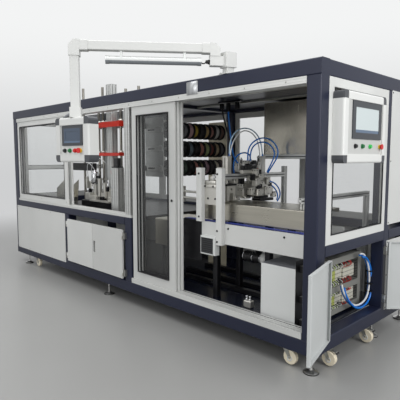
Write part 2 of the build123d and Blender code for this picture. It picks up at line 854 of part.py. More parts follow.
with BuildPart() as arm_column:
    square_bar(column_plane.offset(frame_top), (0, 0), column_flange, flange_thick)
    square_bar(column_plane.offset(frame_top + flange_thick), (0, 0), column_wide,
               housing_low - frame_top - flange_thick - seat_gap)
    rod(column_plane.offset(housing_low - seat_gap), (0, 0), arm_spindle, housing_tall / 2)
save(arm_column, "arm_column")
with BuildPart() as arm_beam:
    square_bar(column_plane.offset(housing_low), (0, 0), housing_wide, housing_tall)
    link_low = housing_low + flange_thick
    block_sketch = arm_plane.offset(link_low)
    with BuildSketch(block_sketch) as link:
        with Locations((elbow_reach / 2 + elbow_wide / 4, 0)):
            Rectangle(elbow_reach + elbow_wide / 2, link_tall)
    extrude(link.sketch, amount=link_tall)
    for near, far, low, outer in ((elbow_reach - elbow_wide / 2, beam_start, link_low + link_tall, 1),
                                  (arm_length - elbow_wide / 2, drop_outer, elbow_low, -1)):
        with BuildSketch(arm_side.offset(-elbow_wide / 2)) as elbow:
            with BuildLine():
                if outer > 0:
                    Polyline((near, low), (near, elbow_top - elbow_chamfer), (near + elbow_chamfer, elbow_top),
                             (far, elbow_top), (far, low), (near, low))
                else:
                    Polyline((near, low), (near, elbow_top), (far - elbow_chamfer, elbow_top),
                             (far, elbow_top - elbow_chamfer), (far, low), (near, low))
            make_face()
        extrude(elbow.sketch, amount=elbow_wide)
    square_bar(arm_section.offset(beam_start), (0, arm_level), arm_tube, arm_length - elbow_wide / 2 - beam_start)
    for start in (beam_start, arm_length - elbow_wide / 2 - collar_long):
        square_bar(arm_section.offset(start), (0, arm_level), collar_wide, collar_long)
    with BuildSketch(column_plane.offset(housing_low)) as bore:
        Circle(arm_spindle / 2 + pin_clear)
    extrude(bore.sketch, amount=housing_tall / 2 + seat_gap, mode=Mode.SUBTRACT)
save(arm_beam, "arm_beam")
drop_at = arm_plane.from_local_coords(Vector(arm_length, 0, 0))
coupling_low = pendant_top + seat_gap
with BuildPart() as drop_tube:
    square_bar(arm_plane.offset(coupling_low), (arm_length, 0), coupling_wide, coupling_tall,
               spigot_round + 2 * pin_clear)
    square_bar(arm_plane.offset(coupling_low + coupling_tall), (arm_length, 0), arm_tube,
               elbow_low - coupling_low - coupling_tall)
save(drop_tube, "drop_tube")

# Lamp under the beam: a round tube with end caps, on two forked hangers
lamp_bottom_of_beam = arm_level - arm_tube / 2
with BuildPart() as lamp_bar:
    rod(arm_section.offset(lamp_start), (0, lamp_level), lamp_round, lamp_length)
    for start in (lamp_start, lamp_start + lamp_length - cap_round):
        rod(arm_section.offset(start), (0, lamp_level), lamp_round + 2 * sheet, cap_round)
    for along in lamp_hangers:
        with BuildSketch(arm_section.offset(lamp_start + along)) as hanger:
            with BuildLine():
                Polyline((-lamp_hanger, lamp_bottom_of_beam), (lamp_hanger, lamp_bottom_of_beam),
                         (lamp_round / 2, lamp_level), (-lamp_round / 2, lamp_level),
                         (-lamp_hanger, lamp_bottom_of_beam))
            make_face()
            with Locations((0, (lamp_bottom_of_beam + lamp_level + lamp_round / 2) / 2)):
                Circle(arm_round, mode=Mode.SUBTRACT)
        extrude(hanger.sketch, amount=lamp_hanger)
save(lamp_bar, "lamp_bar")

# Pendant box with its screen and controls, turning on a spigot in the coupling
pendant_plane = Plane(origin=(drop_at.X, drop_at.Y, 0), z_dir=(0, 0, 1)).rotated((0, 0, pendant_turn))
pendant_back = Plane(origin=pendant_plane.from_local_coords(Vector(0, pendant_deep / 2, pendant_top - pendant_tall / 2)),
                     x_dir=pendant_plane.x_dir, z_dir=-pendant_plane.y_dir)
with BuildPart() as pendant_box:
    console_body(pendant_back, pendant_wide, pendant_tall, pendant_deep)
    fillet(outer_edges(pendant_box, pendant_back, pendant_wide, pendant_tall, pendant_deep), edge_round)
    rod(pendant_plane.offset(pendant_top), (0, 0), spigot_round, coupling_tall * 0.7)
save(pendant_box, "pendant_box")
with BuildPart() as pendant_screen:
    console_caps(pendant_back, pendant_wide, pendant_tall, pendant_deep)
    console_face(pendant_back.offset(pendant_deep - panel_inset), pendant_screen_at, pendant_screen_size,
                 [(x, pendant_button_row) for x in pendant_buttons])
save(pendant_screen, "pendant_screen")

# Conveyor: two side plates on cross bars, with two bright uprights in front
conveyor_left = x_right - conveyor_reach
conveyor_right = x_right - conveyor_stop
conveyor_y = y_front + conveyor_near
plate_low = conveyor_plate_top - conveyor_plate_high
floor_top = base_top + tray_thick
leg_places = (conveyor_left + leg_side, conveyor_right - 8 * leg_side)
trough_near = conveyor_y + conveyor_plate_thick + belt_wide
leg_near = trough_near + trough_wall + trough_lip
with BuildPart() as conveyor_plates:
    for y in (conveyor_y, conveyor_y + conveyor_wide - conveyor_plate_thick):
        block((conveyor_left, conveyor_right), (y, y + conveyor_plate_thick), (plate_low, conveyor_plate_top))
    for x in leg_places:
        block((x + leg_side, x + 2 * leg_side), (conveyor_y, conveyor_y + conveyor_wide), (plate_low, plate_low + leg_side))
    far_x = x_right - far_post
    near_x = x_right - near_post
    block((far_x - post_side, far_x), (conveyor_y + conveyor_plate_thick - post_deep, conveyor_y + conveyor_plate_thick),
          (conveyor_plate_top, post_top))
    block((near_x - post_side, near_x), (conveyor_y - post_deep, conveyor_y), (plate_low - wheel_clear, post_top))
save(conveyor_plates, "conveyor_plates")

# The belt is one closed loop, on a round drum at each end
belt_left = conveyor_left - belt_lead
belt_right = conveyor_right - belt_thick
belt_line = conveyor_plate_top + belt_proud - belt_drop / 2
belt_side = Plane.XZ.offset(-(conveyor_y + conveyor_plate_thick + belt_wide - cap_gap))
with BuildPart() as conveyor_belt:
    with BuildSketch(belt_side) as loop:
        with Locations(((belt_left + belt_right) / 2, belt_line)):
            SlotOverall(belt_right - belt_left, belt_drop)
            SlotOverall(belt_right - belt_left - 2 * belt_thick, belt_drop - 2 * belt_thick, mode=Mode.SUBTRACT)
    extrude(loop.sketch, amount=belt_wide - 2 * cap_gap)
save(conveyor_belt, "conveyor_belt")

# Folded trough sheet beside the belt, turned over into a table behind
trough_left = conveyor_left - leg_side * 2
trough_far = trough_near + trough_deep
trough_low = conveyor_plate_top + belt_proud + leaf_gap
with BuildPart() as trough:
    with BuildSketch(Plane.YZ.offset(trough_left)) as profile:
        with BuildLine() as fold:
            FilletPolyline((trough_near + trough_lip, trough_low), (trough_near, trough_low), (trough_near, trough_top),
                           (trough_far, trough_top), (trough_far, trough_top - 2 * trough_lip),
                           (trough_far - trough_lip, trough_top - 2 * trough_lip), radius=2 * trough_wall)
            offset(fold.line, amount=trough_wall, side=Side.RIGHT)
        make_face()
    extrude(profile.sketch, amount=conveyor_right - trough_left)
save(trough, "trough")
table_under = trough_top - trough_wall
with BuildPart() as conveyor_legs:
    for x in leg_places:
        for y in (leg_near, trough_far - 2 * trough_wall - trough_lip - leg_side):
            post(x + leg_side / 2, y + leg_side / 2, floor_top, table_under, leg_side, leg_side)
    for y in (conveyor_y, conveyor_y + conveyor_plate_thick + belt_wide):
        block((belt_left - seat_gap, conveyor_left), (y, y + conveyor_plate_thick), (end_panel_low, conveyor_plate_top))
    drum = belt_drop / 2 - belt_thick - cap_gap
    drum_plane = Plane.XZ.offset(-(conveyor_y + conveyor_plate_thick + belt_wide))
    for x in (belt_left + belt_drop / 2, belt_right - belt_drop / 2):
        rod(drum_plane, (x, belt_line), 2 * drum, belt_wide)
save(conveyor_legs, "conveyor_legs")

# Reel rack: a short front plate carried from the mullion, and a full plate at the back
rack_x = x_left + reel_x
row_start = y_front + reel_first_y
row_end = y_front + reel_last_y
rack_front = row_start - spindle_gap - rack_plate
rack_back = row_end + spindle_gap
rack_edge = rack_x + spindle_out
with BuildPart() as reel_rack:
    for y, low in ((rack_front, rack_low), (rack_back, floor_top)):
        with BuildSketch(Plane.XZ.offset(-y)) as plate:
            with Locations((rack_edge - rack_wide / 2, (low + rack_top) / 2)):
                RectangleRounded(rack_wide, rack_top - low, panel_round)
            with Locations(*[(rack_x, z) for z in reel_levels]):
                Circle(spindle_round / 2 + pin_clear, mode=Mode.SUBTRACT)
        extrude(plate.sketch, amount=-rack_plate)
    for z in reel_levels:
        with BuildSketch(Plane.XZ.offset(-rack_front)) as ring:
            with Locations((rack_x, z)):
                Circle(rack_ring / 2)
                Circle(spindle_round / 2 + pin_clear, mode=Mode.SUBTRACT)
        extrude(ring.sketch, amount=rack_plate)
    bracket = step_post_mid - door_post / 2
    for z in (rack_low + leg_side, rack_top - 2 * leg_side):
        block((bracket, bracket + leg_side), (y_front + mullion_deep, rack_front), (z, z + leg_side))
save(reel_rack, "reel_rack")
spindle_start = rack_front - rack_plate
spindle_end = rack_back + rack_plate
reel_count = int((row_end - row_start) / reel_pitch)
for row, name in enumerate(("bottom", "middle", "top")):
    level = reel_levels[row]
    with BuildPart() as reel_row:
        with BuildSketch(Plane.YZ.offset(rack_x)) as profile:
            with BuildLine():
                steps = [(spindle_start, level), (spindle_start, level + spindle_round / 2)]
                for k in range(reel_count):
                    y = row_start + k * reel_pitch
                    wound = reel_cores[(3 * row + k) % len(reel_cores)] / 2
                    steps += [(y, level + spindle_round / 2), (y, level + reel_round / 2),
                              (y + reel_flange, level + reel_round / 2), (y + reel_flange, level + wound),
                              (y + reel_wide - reel_flange, level + wound),
                              (y + reel_wide - reel_flange, level + reel_round / 2),
                              (y + reel_wide, level + reel_round / 2), (y + reel_wide, level + spindle_round / 2)]
                steps += [(spindle_end, level + spindle_round / 2), (spindle_end, level), (spindle_start, level)]
                Polyline(*steps)
            make_face()
        revolve(profile.sketch, axis=Axis((rack_x, 0, level), (0, 1, 0)))
    save(reel_row, f"reel_row_{name}")

# Slotted beams: the gantry across the conveyor, the beam under the hood, the rail behind the end window
# and the two rails of the left station
gantry_x = near_x - post_side - slot_module / 2
gantry_line = gantry_top - slot_module / 2
hood_left = x_right - hood_reach
hood_front = y_front + hood_near
rail_x = x_right - end_rail_reach
rail_level = trough_top + slot_module
station_y = y_front + station_near
column_right = x_right - station_reach + station_column_wide / 2
rail_rods = [x_right - reach for reach, top in station_rods if reach < station_reach]
with BuildPart() as slotted_beams:
    slotted_bar(Plane.YZ.offset(hood_left), (hood_front + slot_module / 2, hood_low - slot_module / 2), slot_module,
                slot_module, x_right - tube - hood_left)
    slotted_bar(Plane.XZ.offset(-(y_front + gantry_far)), (gantry_x, gantry_line), slot_module, slot_module,
                y_front + gantry_far - conveyor_y + post_deep)
    slotted_bar(Plane.XY.offset(floor_top), (gantry_x, y_front + gantry_far + slot_module / 2), slot_module,
                slot_module, gantry_post_top - floor_top)
    slotted_bar(Plane.XZ.offset(-(y_front + end_rail_far)), (rail_x, rail_level + slot_module / 2), slot_module,
                slot_module, y_front + end_rail_far - trough_near - leg_side)
    slotted_bar(Plane.XY.offset(trough_top), (rail_x, trough_near + 2 * leg_side), slot_module, slot_module,
                slot_module)
    slotted_bar(Plane.XY.offset(floor_top), (rail_x, y_front + end_rail_far - slot_module / 2), slot_module,
                slot_module, rail_level - floor_top)
    for z in station_rail_levels:
        slotted_bar(Plane.YZ.offset(column_right), (station_y, z), slot_module, slot_module,
                    max(rail_rods) + slot_module - column_right)
        for x in rail_rods:
            with BuildSketch(Plane.XY.offset(z - slot_module)) as bore:
                with Locations((x, station_y)):
                    Circle(station_rod / 2 + cap_gap)
            extrude(bore.sketch, amount=2 * slot_module, mode=Mode.SUBTRACT)
save(slotted_beams, "slotted_beams")

# Cylinders: square barrels with end caps beside the gantry beam, and a round one on the left station
barrel_x = gantry_x - slot_module / 2 - cylinder_side / 2
barrel_low = gantry_top - slot_module
with BuildPart() as cylinders:
    for y in gripper_places:
        at = (barrel_x, y_front + y)
        with BuildSketch(Plane.XY.offset(barrel_low)) as barrel:
            with Locations(at):
                RectangleRounded(cylinder_side, cylinder_side, wheel_clear)
                slot_cuts(cylinder_side, cylinder_side, False)
        extrude(barrel.sketch, amount=cylinder_tall)
        for z in (barrel_low, barrel_low + cylinder_tall):
            with BuildSketch(Plane.XY.offset(z)) as cap:
                with Locations(at):
                    RectangleRounded(cylinder_side, cylinder_side, section_round)
            extrude(cap.sketch, amount=cap_deep if z > barrel_low else -cap_deep)
        rod(Plane.XY.offset(gripper_top), at, spindle_round, barrel_low - gripper_top)
    drum_at = (x_right - drum_reach, station_y)
    rod(Plane.XY.offset(station_base_level), drum_at, drum_round - 2 * wheel_clear, drum_top - station_base_level)
    for z in (drum_low, drum_top - cap_deep):
        rod(Plane.XY.offset(z), drum_at, drum_round, cap_deep)
save(cylinders, "cylinders")

# Grippers: a stepped block with two jaws and a cross bore under each cylinder, and the slide at the left
with BuildPart() as gripper_blocks:
    for y in gripper_places:
        middle = y_front + y
        with BuildSketch(Plane.YZ.offset(barrel_x - gripper_wide / 2)) as side:
            with BuildLine():
                Polyline((middle - gripper_wide / 2, gripper_top), (middle + gripper_wide / 2, gripper_top),
                         (middle + gripper_wide / 2, gripper_low), (middle + gripper_wide / 4, gripper_low),
                         (middle + gripper_wide / 5, gripper_mid), (middle - gripper_wide / 5, gripper_mid),
                         (middle - gripper_wide / 4, gripper_low), (middle - gripper_wide / 2, gripper_low),
                         (middle - gripper_wide / 2, gripper_top))
            make_face()
            with Locations((middle, (gripper_mid + gripper_top) / 2)):
                Circle(spindle_round / 2, mode=Mode.SUBTRACT)
        extrude(side.sketch, amount=gripper_wide)
    slide_y = (conveyor_y + conveyor_plate_thick, conveyor_y + conveyor_plate_thick + belt_wide - leaf_gap)
    slide_x = (far_x - post_side, near_x - post_side - leaf_gap)
    block(slide_x, slide_y, (slide_low, slide_top))
    for z in slide_rods:
        rod(Plane.YZ.offset(belt_left), (sum(slide_y) / 2, z), spindle_round, slide_x[0] - belt_left)
    block((belt_left - rack_plate, belt_left), slide_y, (slide_low, slide_top))
save(gripper_blocks, "gripper_blocks")

# Stainless hood in the rear right corner: a sheet shroud, open below, on its slotted beam
hood_back = y_back - tube
hood_right = x_right - tube
with BuildPart() as hood:
    for inner, how in ((0, Mode.ADD), (hood_wall, Mode.SUBTRACT)):
        with BuildSketch(Plane.XY.offset(hood_low)) as walls:
            with BuildLine():
                FilletPolyline((hood_right - inner, hood_front + inner), (hood_left + inner, hood_front + inner),
                               (hood_left + inner, hood_back - inner), (hood_right - inner, hood_back - inner),
                               radius=hood_round - inner)
                Line((hood_right - inner, hood_back - inner), (hood_right - inner, hood_front + inner))
            make_face()
        extrude(walls.sketch, amount=ring_bottom - hood_low - inner, mode=how)
save(hood, "hood")

# Left station: base plate, slotted columns, rods, red plates, a black beam and a chute
station_line = x_right - station_reach
front_column = x_right - front_column_reach
beam_x = (x_right - beam_far, x_right - beam_near)
post_rod = x_right - station_rods[0][0]
with BuildPart() as station_base:
    block((x_left + base_inset, step_post_mid - tube), (inner_front, inner_back),
          (station_base_level - slot_module, station_base_level))
    motor_at = (front_column, y_front + front_column_near)
    with BuildSketch(Plane.XY.offset(front_column_top)) as flange:
        with Locations(motor_at):
            RectangleRounded(housing_wide, housing_wide, wheel_clear)
    extrude(flange.sketch, amount=rack_plate)
    rod(Plane.XY.offset(front_column_top + rack_plate), motor_at, housing_wide - rack_plate, motor_tall)
    beam_high = (black_beam_level, black_beam_level + housing_wide)
    block(beam_x, (station_y - slot_module, station_y + slot_module), beam_high)
    with BuildSketch(Plane.XY.offset(black_beam_level)) as bore:
        with Locations((post_rod, station_y)):
            Circle(station_rod / 2 + cap_gap)
    extrude(bore.sketch, amount=housing_wide, mode=Mode.SUBTRACT)
save(station_base, "station_base")
with BuildPart() as station_column:
    slotted_bar(Plane.XY.offset(station_base_level), (station_line, station_y), station_column_wide,
                2 * slot_module, station_column_top - station_base_level)
    slotted_bar(Plane.XY.offset(station_base_level), (front_column, y_front + front_column_near), 3 * slot_module,
                2 * slot_module, front_column_top - station_base_level)
save(station_column, "station_column")
with BuildPart() as guide_rods:
    for reach, top in station_rods:
        rod(Plane.XY.offset(station_base_level), (x_right - reach, station_y), station_rod, top - station_base_level)
save(guide_rods, "guide_rods")
plate_holes = [x_right - reach for reach, top in station_rods if abs(reach - red_reach) < red_wide / 2]
with BuildPart() as red_plates:
    for low, high in red_levels:
        with BuildSketch(Plane.XY.offset(low)) as plate:
            with Locations((x_right - red_reach, station_y)):
                RectangleRounded(red_wide, red_deep, frame_round)
            with Locations((station_line, station_y)):
                Rectangle(station_column_wide + 2 * cap_gap, 2 * slot_module + 2 * cap_gap, mode=Mode.SUBTRACT)
            with Locations(*[(x, station_y) for x in plate_holes]):
                Circle(station_rod / 2 + cap_gap, mode=Mode.SUBTRACT)
        extrude(plate.sketch, amount=high - low)
save(red_plates, "red_plates")
with BuildPart() as chute_plates:
    for y in chute_places:
        with BuildSketch(Plane.XZ.offset(-(y_front + y))) as cheek:
            with BuildLine():
                Polyline(*[(x_right - reach, z) for reach, z in chute_outline], close=True)
            make_face()
        extrude(cheek.sketch, amount=-chute_wall)
    slope = [(x_right - reach, z) for reach, z in chute_slope]
    with BuildSketch(Plane.XZ.offset(-(y_front + chute_places[0]))) as floor_sheet:
        with BuildLine():
            Polyline(slope[0], slope[1], (slope[1][0], slope[1][1] - chute_wall),
                     (slope[0][0], slope[0][1] - chute_wall), close=True)
        make_face()
    extrude(floor_sheet.sketch, amount=chute_places[0] - chute_places[1])
save(chute_plates, "chute_plates")

# Boxes in front of and under the conveyor
with BuildPart() as lower_boxes:
    with BuildSketch(Plane.XY.offset(floor_top)) as outline:
        with Locations((x_right - (lower_far + lower_near) / 2, y_front + lower_front + lower_deep / 2)):
            RectangleRounded(lower_far - lower_near, lower_deep, panel_round)
    extrude(outline.sketch, amount=lower_top - floor_top)
    control_x = (near_x - post_side - control_wide, near_x - post_side - seat_gap)
    control_z = (control_top - control_tall, control_top)
    block(control_x, (conveyor_y - control_deep, conveyor_y), control_z)
    block((control_x[0] + panel_inset, control_x[1] - panel_inset),
          (conveyor_y - control_deep - panel_inset / 2, conveyor_y - control_deep),
          (control_z[0] + panel_inset, control_z[1] - panel_inset))
save(lower_boxes, "lower_boxes")

# Levelling feet under the base ring: pad, domed disc, stud and lock nut
foot_places = (x_left + foot_left_inset, x_left + foot_mid, x_right - foot_inset)
feet_at = [(x, y) for x in foot_places for y in (y_front + foot_inset, y_back - foot_inset)]
feet_at.append((x_right - foot_inset, y_front + foot_end))
dome_top = foot_pad + foot_dome
with BuildPart() as levelling_feet:
    for at in feet_at:
        with BuildSketch(Plane(origin=(*at, 0), x_dir=(1, 0, 0), z_dir=(0, -1, 0))) as half:
            with BuildLine():
                Polyline((0, 0), (foot_disc / 2, 0), (foot_disc / 2, foot_pad), (foot_disc / 2 - sheet, foot_pad),
                         (foot_disc / 2 - sheet, foot_pad + 2 * sheet), (foot_stud, dome_top - 2 * sheet),
                         (foot_stud, dome_top), (foot_stud / 2, dome_top), (foot_stud / 2, floor_gap),
                         (0, floor_gap), (0, 0))
            make_face()
        revolve(half.sketch, axis=Axis((*at, 0), (0, 0, 1)))
        with BuildSketch(Plane.XY.offset(floor_gap - nut_tall)) as nut:
            with Locations(at):
                RegularPolygon(nut_across / 2, 6, major_radius=False)
        extrude(nut.sketch, amount=nut_tall)
save(levelling_feet, "levelling_feet")

# Swivel casters, lifted clear of the ground by the feet
caster_at = (
    (x_right - caster_near, y_front + foot_inset),
    (x_right - foot_inset, y_front + caster_side[0]),
    (x_right - foot_inset, y_front + caster_side[1]),
    (x_left + caster_left_inset, y_front + foot_inset),
)
wheel_mid = wheel_clear + wheel_round / 2
crown_top = floor_gap - caster_plate - seat_gap
crown_low = wheel_mid + wheel_round / 2 + crown_clear
leg_inner = wheel_wide / 2 + 1 + seat_gap
crown_half = fork_long / 2
with BuildPart() as caster_plates:
    for at in caster_at:
        with BuildSketch(Plane.XY.offset(floor_gap)) as plate:
            with Locations(at):
                RectangleRounded(plate_long, plate_wide, panel_round)
        extrude(plate.sketch, amount=-caster_plate)
        rod(Plane.XY.offset(crown_low - seat_gap), at, king_round, floor_gap - caster_plate - crown_low + seat_gap)
save(caster_plates, "caster_plates")
for k, (cx, cy) in enumerate(caster_at, 1):
    axle_x = cx + caster_trail
    with BuildPart() as fork:
        with BuildSketch(Plane.XY.offset(crown_low)) as crown:
            with Locations((cx, cy)):
                Circle(crown_round / 2)
                Rectangle(fork_long, 2 * (leg_inner + fork_plate))
            with Locations((cx + brake_reach / 2, cy)):
                Rectangle(brake_reach, fork_long / 2)
            with Locations((cx, cy)):
                Circle(king_round / 2 + pin_clear, mode=Mode.SUBTRACT)
        extrude(crown.sketch, amount=crown_top - crown_low)
        pedal = Plane(origin=(cx + brake_reach, cy, (crown_low + crown_top) / 2), x_dir=(0, 1, 0), z_dir=(1, 0, -1))
        with BuildSketch(pedal.offset(-1)) as tread:
            Rectangle(fork_long / 2, crown_top - crown_low + 1)
        extrude(tread.sketch, amount=brake_tread)
        for side in (-1, 1):
            inner = cy + side * leg_inner
            with BuildSketch(Plane.XZ.offset(-inner)) as leg:
                with BuildLine():
                    Polyline((cx - crown_half, crown_low + 2), (cx + crown_half, crown_low + 2),
                             (axle_x + king_round, wheel_mid), (axle_x, wheel_mid - king_round),
                             (axle_x - king_round, wheel_mid), (cx - crown_half, crown_low + 2))
                make_face()
            extrude(leg.sketch, amount=-side * fork_plate)
        rod(Plane.XZ.offset(-(cy - leg_inner)), (axle_x, wheel_mid), axle_round, -2 * leg_inner)
    save(fork, f"caster_{k}_fork")
    with BuildPart() as wheel:
        with BuildSketch(Plane.XZ.offset(-cy)):
            with Locations((axle_x, wheel_mid)):
                Circle(wheel_round / 2)
                Circle(axle_round / 2 + pin_clear, mode=Mode.SUBTRACT)
        extrude(amount=wheel_wide / 2, both=True)
        fillet(wheel.edges().filter_by(GeomType.CIRCLE).group_by(SortBy.RADIUS)[-1], tread_round)
        with BuildSketch(Plane.XZ.offset(-cy)):
            with Locations((axle_x, wheel_mid)):
                Circle(hub_round / 2)
                Circle(axle_round / 2 + pin_clear, mode=Mode.SUBTRACT)
        extrude(amount=wheel_wide / 2 + 1, both=True)
    save(wheel, f"caster_{k}_wheel")

# Pressure hoses between the cylinders and the gantry beam, and the cable loop in the end cabinet
barrel_top = barrel_low + cylinder_tall + cap_deep
loop_top = barrel_top + hose_rise
loop_x = gantry_x + hose_swing
port_level = gantry_line + slot_module / 4
duct_face = plate_x + duct_deep
with BuildPart() as air_hoses:
    for y in gripper_places:
        for shift in (0, hose_gap):
            start_y = y_front + y - hose_gap / 2 + shift
            end_y = start_y + hose_span - 2 * shift
            hose((barrel_x, start_y, barrel_top), (barrel_x, start_y, loop_top - shift),
                 (loop_x - shift, start_y + hose_span / 3, loop_top - shift),
                 (loop_x - shift, end_y, port_level), (gantry_x + slot_module / 2, end_y, port_level))
    for shift in (0, cable_gap, 2 * cable_gap):
        depth = duct_face + cable_out - shift
        start_y = y_front + cable_start[0] + shift
        end_y = y_front + cable_end[0] - shift
        hose((duct_face, start_y, cable_start[1]), (depth, start_y, cable_start[1]),
             *[(depth, y_front + y, z) for y, z in cable_route],
             (depth, end_y, cable_end[1]), (duct_face, end_y, cable_end[1]))
save(air_hoses, "air_hoses")
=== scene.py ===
from math import cos, pi, radians, sin

import bmesh
import bpy
import numpy as np
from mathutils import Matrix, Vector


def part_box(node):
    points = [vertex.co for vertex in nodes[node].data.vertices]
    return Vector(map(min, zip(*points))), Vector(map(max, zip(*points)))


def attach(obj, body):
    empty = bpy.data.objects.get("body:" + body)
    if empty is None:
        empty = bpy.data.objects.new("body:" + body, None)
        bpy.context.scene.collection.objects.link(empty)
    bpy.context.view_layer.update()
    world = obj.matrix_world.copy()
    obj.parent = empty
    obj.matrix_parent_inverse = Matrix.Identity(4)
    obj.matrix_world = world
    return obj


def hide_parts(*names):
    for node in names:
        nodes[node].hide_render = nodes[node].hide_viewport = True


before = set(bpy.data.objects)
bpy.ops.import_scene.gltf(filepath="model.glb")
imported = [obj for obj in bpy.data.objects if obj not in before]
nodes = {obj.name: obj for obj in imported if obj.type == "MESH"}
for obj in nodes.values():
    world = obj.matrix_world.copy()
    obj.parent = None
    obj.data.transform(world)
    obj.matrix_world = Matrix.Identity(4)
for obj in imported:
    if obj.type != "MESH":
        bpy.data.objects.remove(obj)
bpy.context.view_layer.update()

# Camera: it stands in front of the right end, a little above the operator box, and looks along the
# machine's diagonal. Its place is measured from the front right corner of the base frame.
frame_low, frame_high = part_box("frame_long_tubes")
corner_x = frame_high[0]
corner_y = frame_low[1]


def spot(x, y, z):
    """A point measured from the machine's front right corner: x along it, y to the back, z up."""
    return np.array([corner_x + x, corner_y + y, z])


camera_data = bpy.data.cameras.new("camera")
camera_data.lens = 40.11
camera_data.sensor_width = 36.0
camera = bpy.data.objects.new("camera", camera_data)
camera.location = spot(1.4145, -2.3831, 1.3791)
camera.rotation_euler = (radians(90 - 5.466), 0, radians(45.62))
bpy.context.scene.collection.objects.link(camera)
bpy.context.scene.camera = camera
bpy.context.scene.view_settings.view_transform = "Standard"


# Frame: welded square tube under navy powder coat, a cured layer of coloured powder with a fine orange
# peel and a slow change of tone along long pieces. The floor tray has a like coat.
class Value:
    """A shader socket. Arithmetic on it adds Math nodes beside it."""

    def __init__(self, finish, socket):
        self.finish = finish
        self.socket = socket

    def math(self, operation, *terms):
        return self.finish.node("ShaderNodeMath", {"operation": operation}, dict(enumerate(terms)))

    def __add__(self, other):
        return self.math("ADD", self, other)

    __radd__ = __add__

    def __sub__(self, other):
        return self.math("SUBTRACT", self, other)

    def __rsub__(self, other):
        return self.math("SUBTRACT", other, self)

    def __mul__(self, other):
        return self.math("MULTIPLY", self, other)

    __rmul__ = __mul__

    def __gt__(self, other):
        return self.math("GREATER_THAN", self, other)

    def __lt__(self, other):
        return self.math("LESS_THAN", self, other)

    def part_of(self, length):
        """The share of one repeat that has passed, between 0 and 1."""
        return self.math("FRACT", self * (1 / length))


class Finish:
    """A material under construction, with one method that adds any node."""

    def __init__(self, name):
        self.material = bpy.data.materials.new(name)
        self.material.use_nodes = True
        self.tree = self.material.node_tree
        self.tree.nodes.clear()

    def node(self, kind, settings=None, inputs=None, output=0):
        """Adds a node: its settings or ramp stops first, then the values or links of its sockets."""
        made = self.tree.nodes.new(kind)
        for key, value in (settings or {}).items():
            if key == "stops":
                ramp = made.color_ramp
                ramp.interpolation = "CONSTANT"
                while len(ramp.elements) < len(value):
                    ramp.elements.new(1.0)
                for element, (place, colour) in zip(ramp.elements, value):
                    element.position = place
                    element.color = (*colour, 1.0)
            else:
                setattr(made, key, value)
        for key, value in (inputs or {}).items():
            if isinstance(value, Value):
                self.tree.links.new(value.socket, made.inputs[key])
            else:
                made.inputs[key].default_value = value
        return Value(self, made.outputs[output]) if made.outputs else None

    def place(self, stretch=(1, 1, 1)):
        """Object coordinates, stretched along an axis where the grain runs."""
        coordinates = self.node("ShaderNodeTexCoord", output="Object")
        return self.node("ShaderNodeMapping", {}, {"Vector": coordinates, "Scale": stretch})

    def seen_from(self, origin=(0, 0, 0), turn=0.0):
        """The three coordinates measured from an origin, on axes turned about the vertical."""
        coordinates = self.node("ShaderNodeTexCoord", output="Object")
        local = self.node("ShaderNodeMapping", {"vector_type": "TEXTURE"},
                          {"Vector": coordinates, "Location": tuple(origin), "Rotation": (0, 0, turn)})
        return [self.node("ShaderNodeSeparateXYZ", {}, {"Vector": local}, output=k) for k in range(3)]

    def noise(self, scale, detail=3.0, stretch=(1, 1, 1)):
        """Soft noise between 0 and 1, in grains of one over scale metres."""
        return self.node("ShaderNodeTexNoise", {},
                         {"Vector": self.place(stretch), "Scale": scale, "Detail": detail})

    def mix(self, factor, under, over):
        """A colour between two others."""
        pair = [(*colour, 1) if isinstance(colour, tuple) else colour for colour in (under, over)]
        terms = {0: factor, 6: pair[0], 7: pair[1]}
        return self.node("ShaderNodeMix", {"data_type": "RGBA"}, terms, output=2)

    def bump(self, height, distance):
        """A normal raised by a height in metres."""
        return self.node("ShaderNodeBump", {}, {"Height": height, "Distance": distance})

    def surface(self, **inputs):
        """Ends the material in a Principled surface. Underscores in names stand for spaces."""
        values = {key.replace("_", " "): value for key, value in inputs.items()}
        for key in ("Base Color", "Emission Color"):
            if isinstance(values.get(key), tuple):
                values[key] = (*values[key], 1)
        shader = self.node("ShaderNodeBsdfPrincipled", {}, values)
        self.node("ShaderNodeOutputMaterial", {}, {"Surface": shader})
        return self.material

    def onto(self, name, colour, rough, relief, depth, **more):
        """Ends the material and gives it to a CAD node. Relief times depth in metres raises its face."""
        normal = self.bump(relief, depth)
        dress(self.surface(Base_Color=colour, Roughness=rough, Normal=normal, **more), name)


def linear(red, green, blue):
    """A display colour of 0 to 255 as the linear numbers that a shader takes."""
    shares = [c / 255 for c in (red, green, blue)]
    return tuple(((c + 0.055) / 1.055) ** 2.4 if c > 10 / 255 else c / 12.92 for c in shares)


def dress(material, *names):
    """Gives CAD nodes their material."""
    for name in names:
        mesh = nodes[name].data
        mesh.materials.clear()
        mesh.materials.append(material)


def powder_coat(name, colour, gloss, peel=0.00012, metal_share=0.0, shine=0.5):
    """Powder coat: the tone runs from 0.86 to 1.08 of the colour by slow noise, the roughness is the
    gloss value give or take 0.04 by fine noise, and finer noise times the peel height raises the face."""
    coat = Finish(name)
    tone = coat.noise(1.7, 2.0)
    speck = coat.noise(260.0, 2.0)
    dark = tuple(0.86 * c for c in colour)
    light = tuple(min(1.0, 1.08 * c) for c in colour)
    return coat.surface(Base_Color=coat.mix(tone, dark, light), Roughness=gloss + 0.08 * speck - 0.04,
                        Metallic=metal_share, Specular_IOR_Level=shine,
                        Normal=coat.bump(coat.noise(420.0, 1.0), peel))


navy = powder_coat("navy_coat", linear(28, 33, 54), 0.38, shine=0.4)
tray_coat = powder_coat("tray_coat", linear(20, 24, 38), 0.2, shine=0.5)
dress(navy, "frame_long_tubes", "frame_cross_tubes", "frame_posts")
dress(tray_coat, "floor_tray")

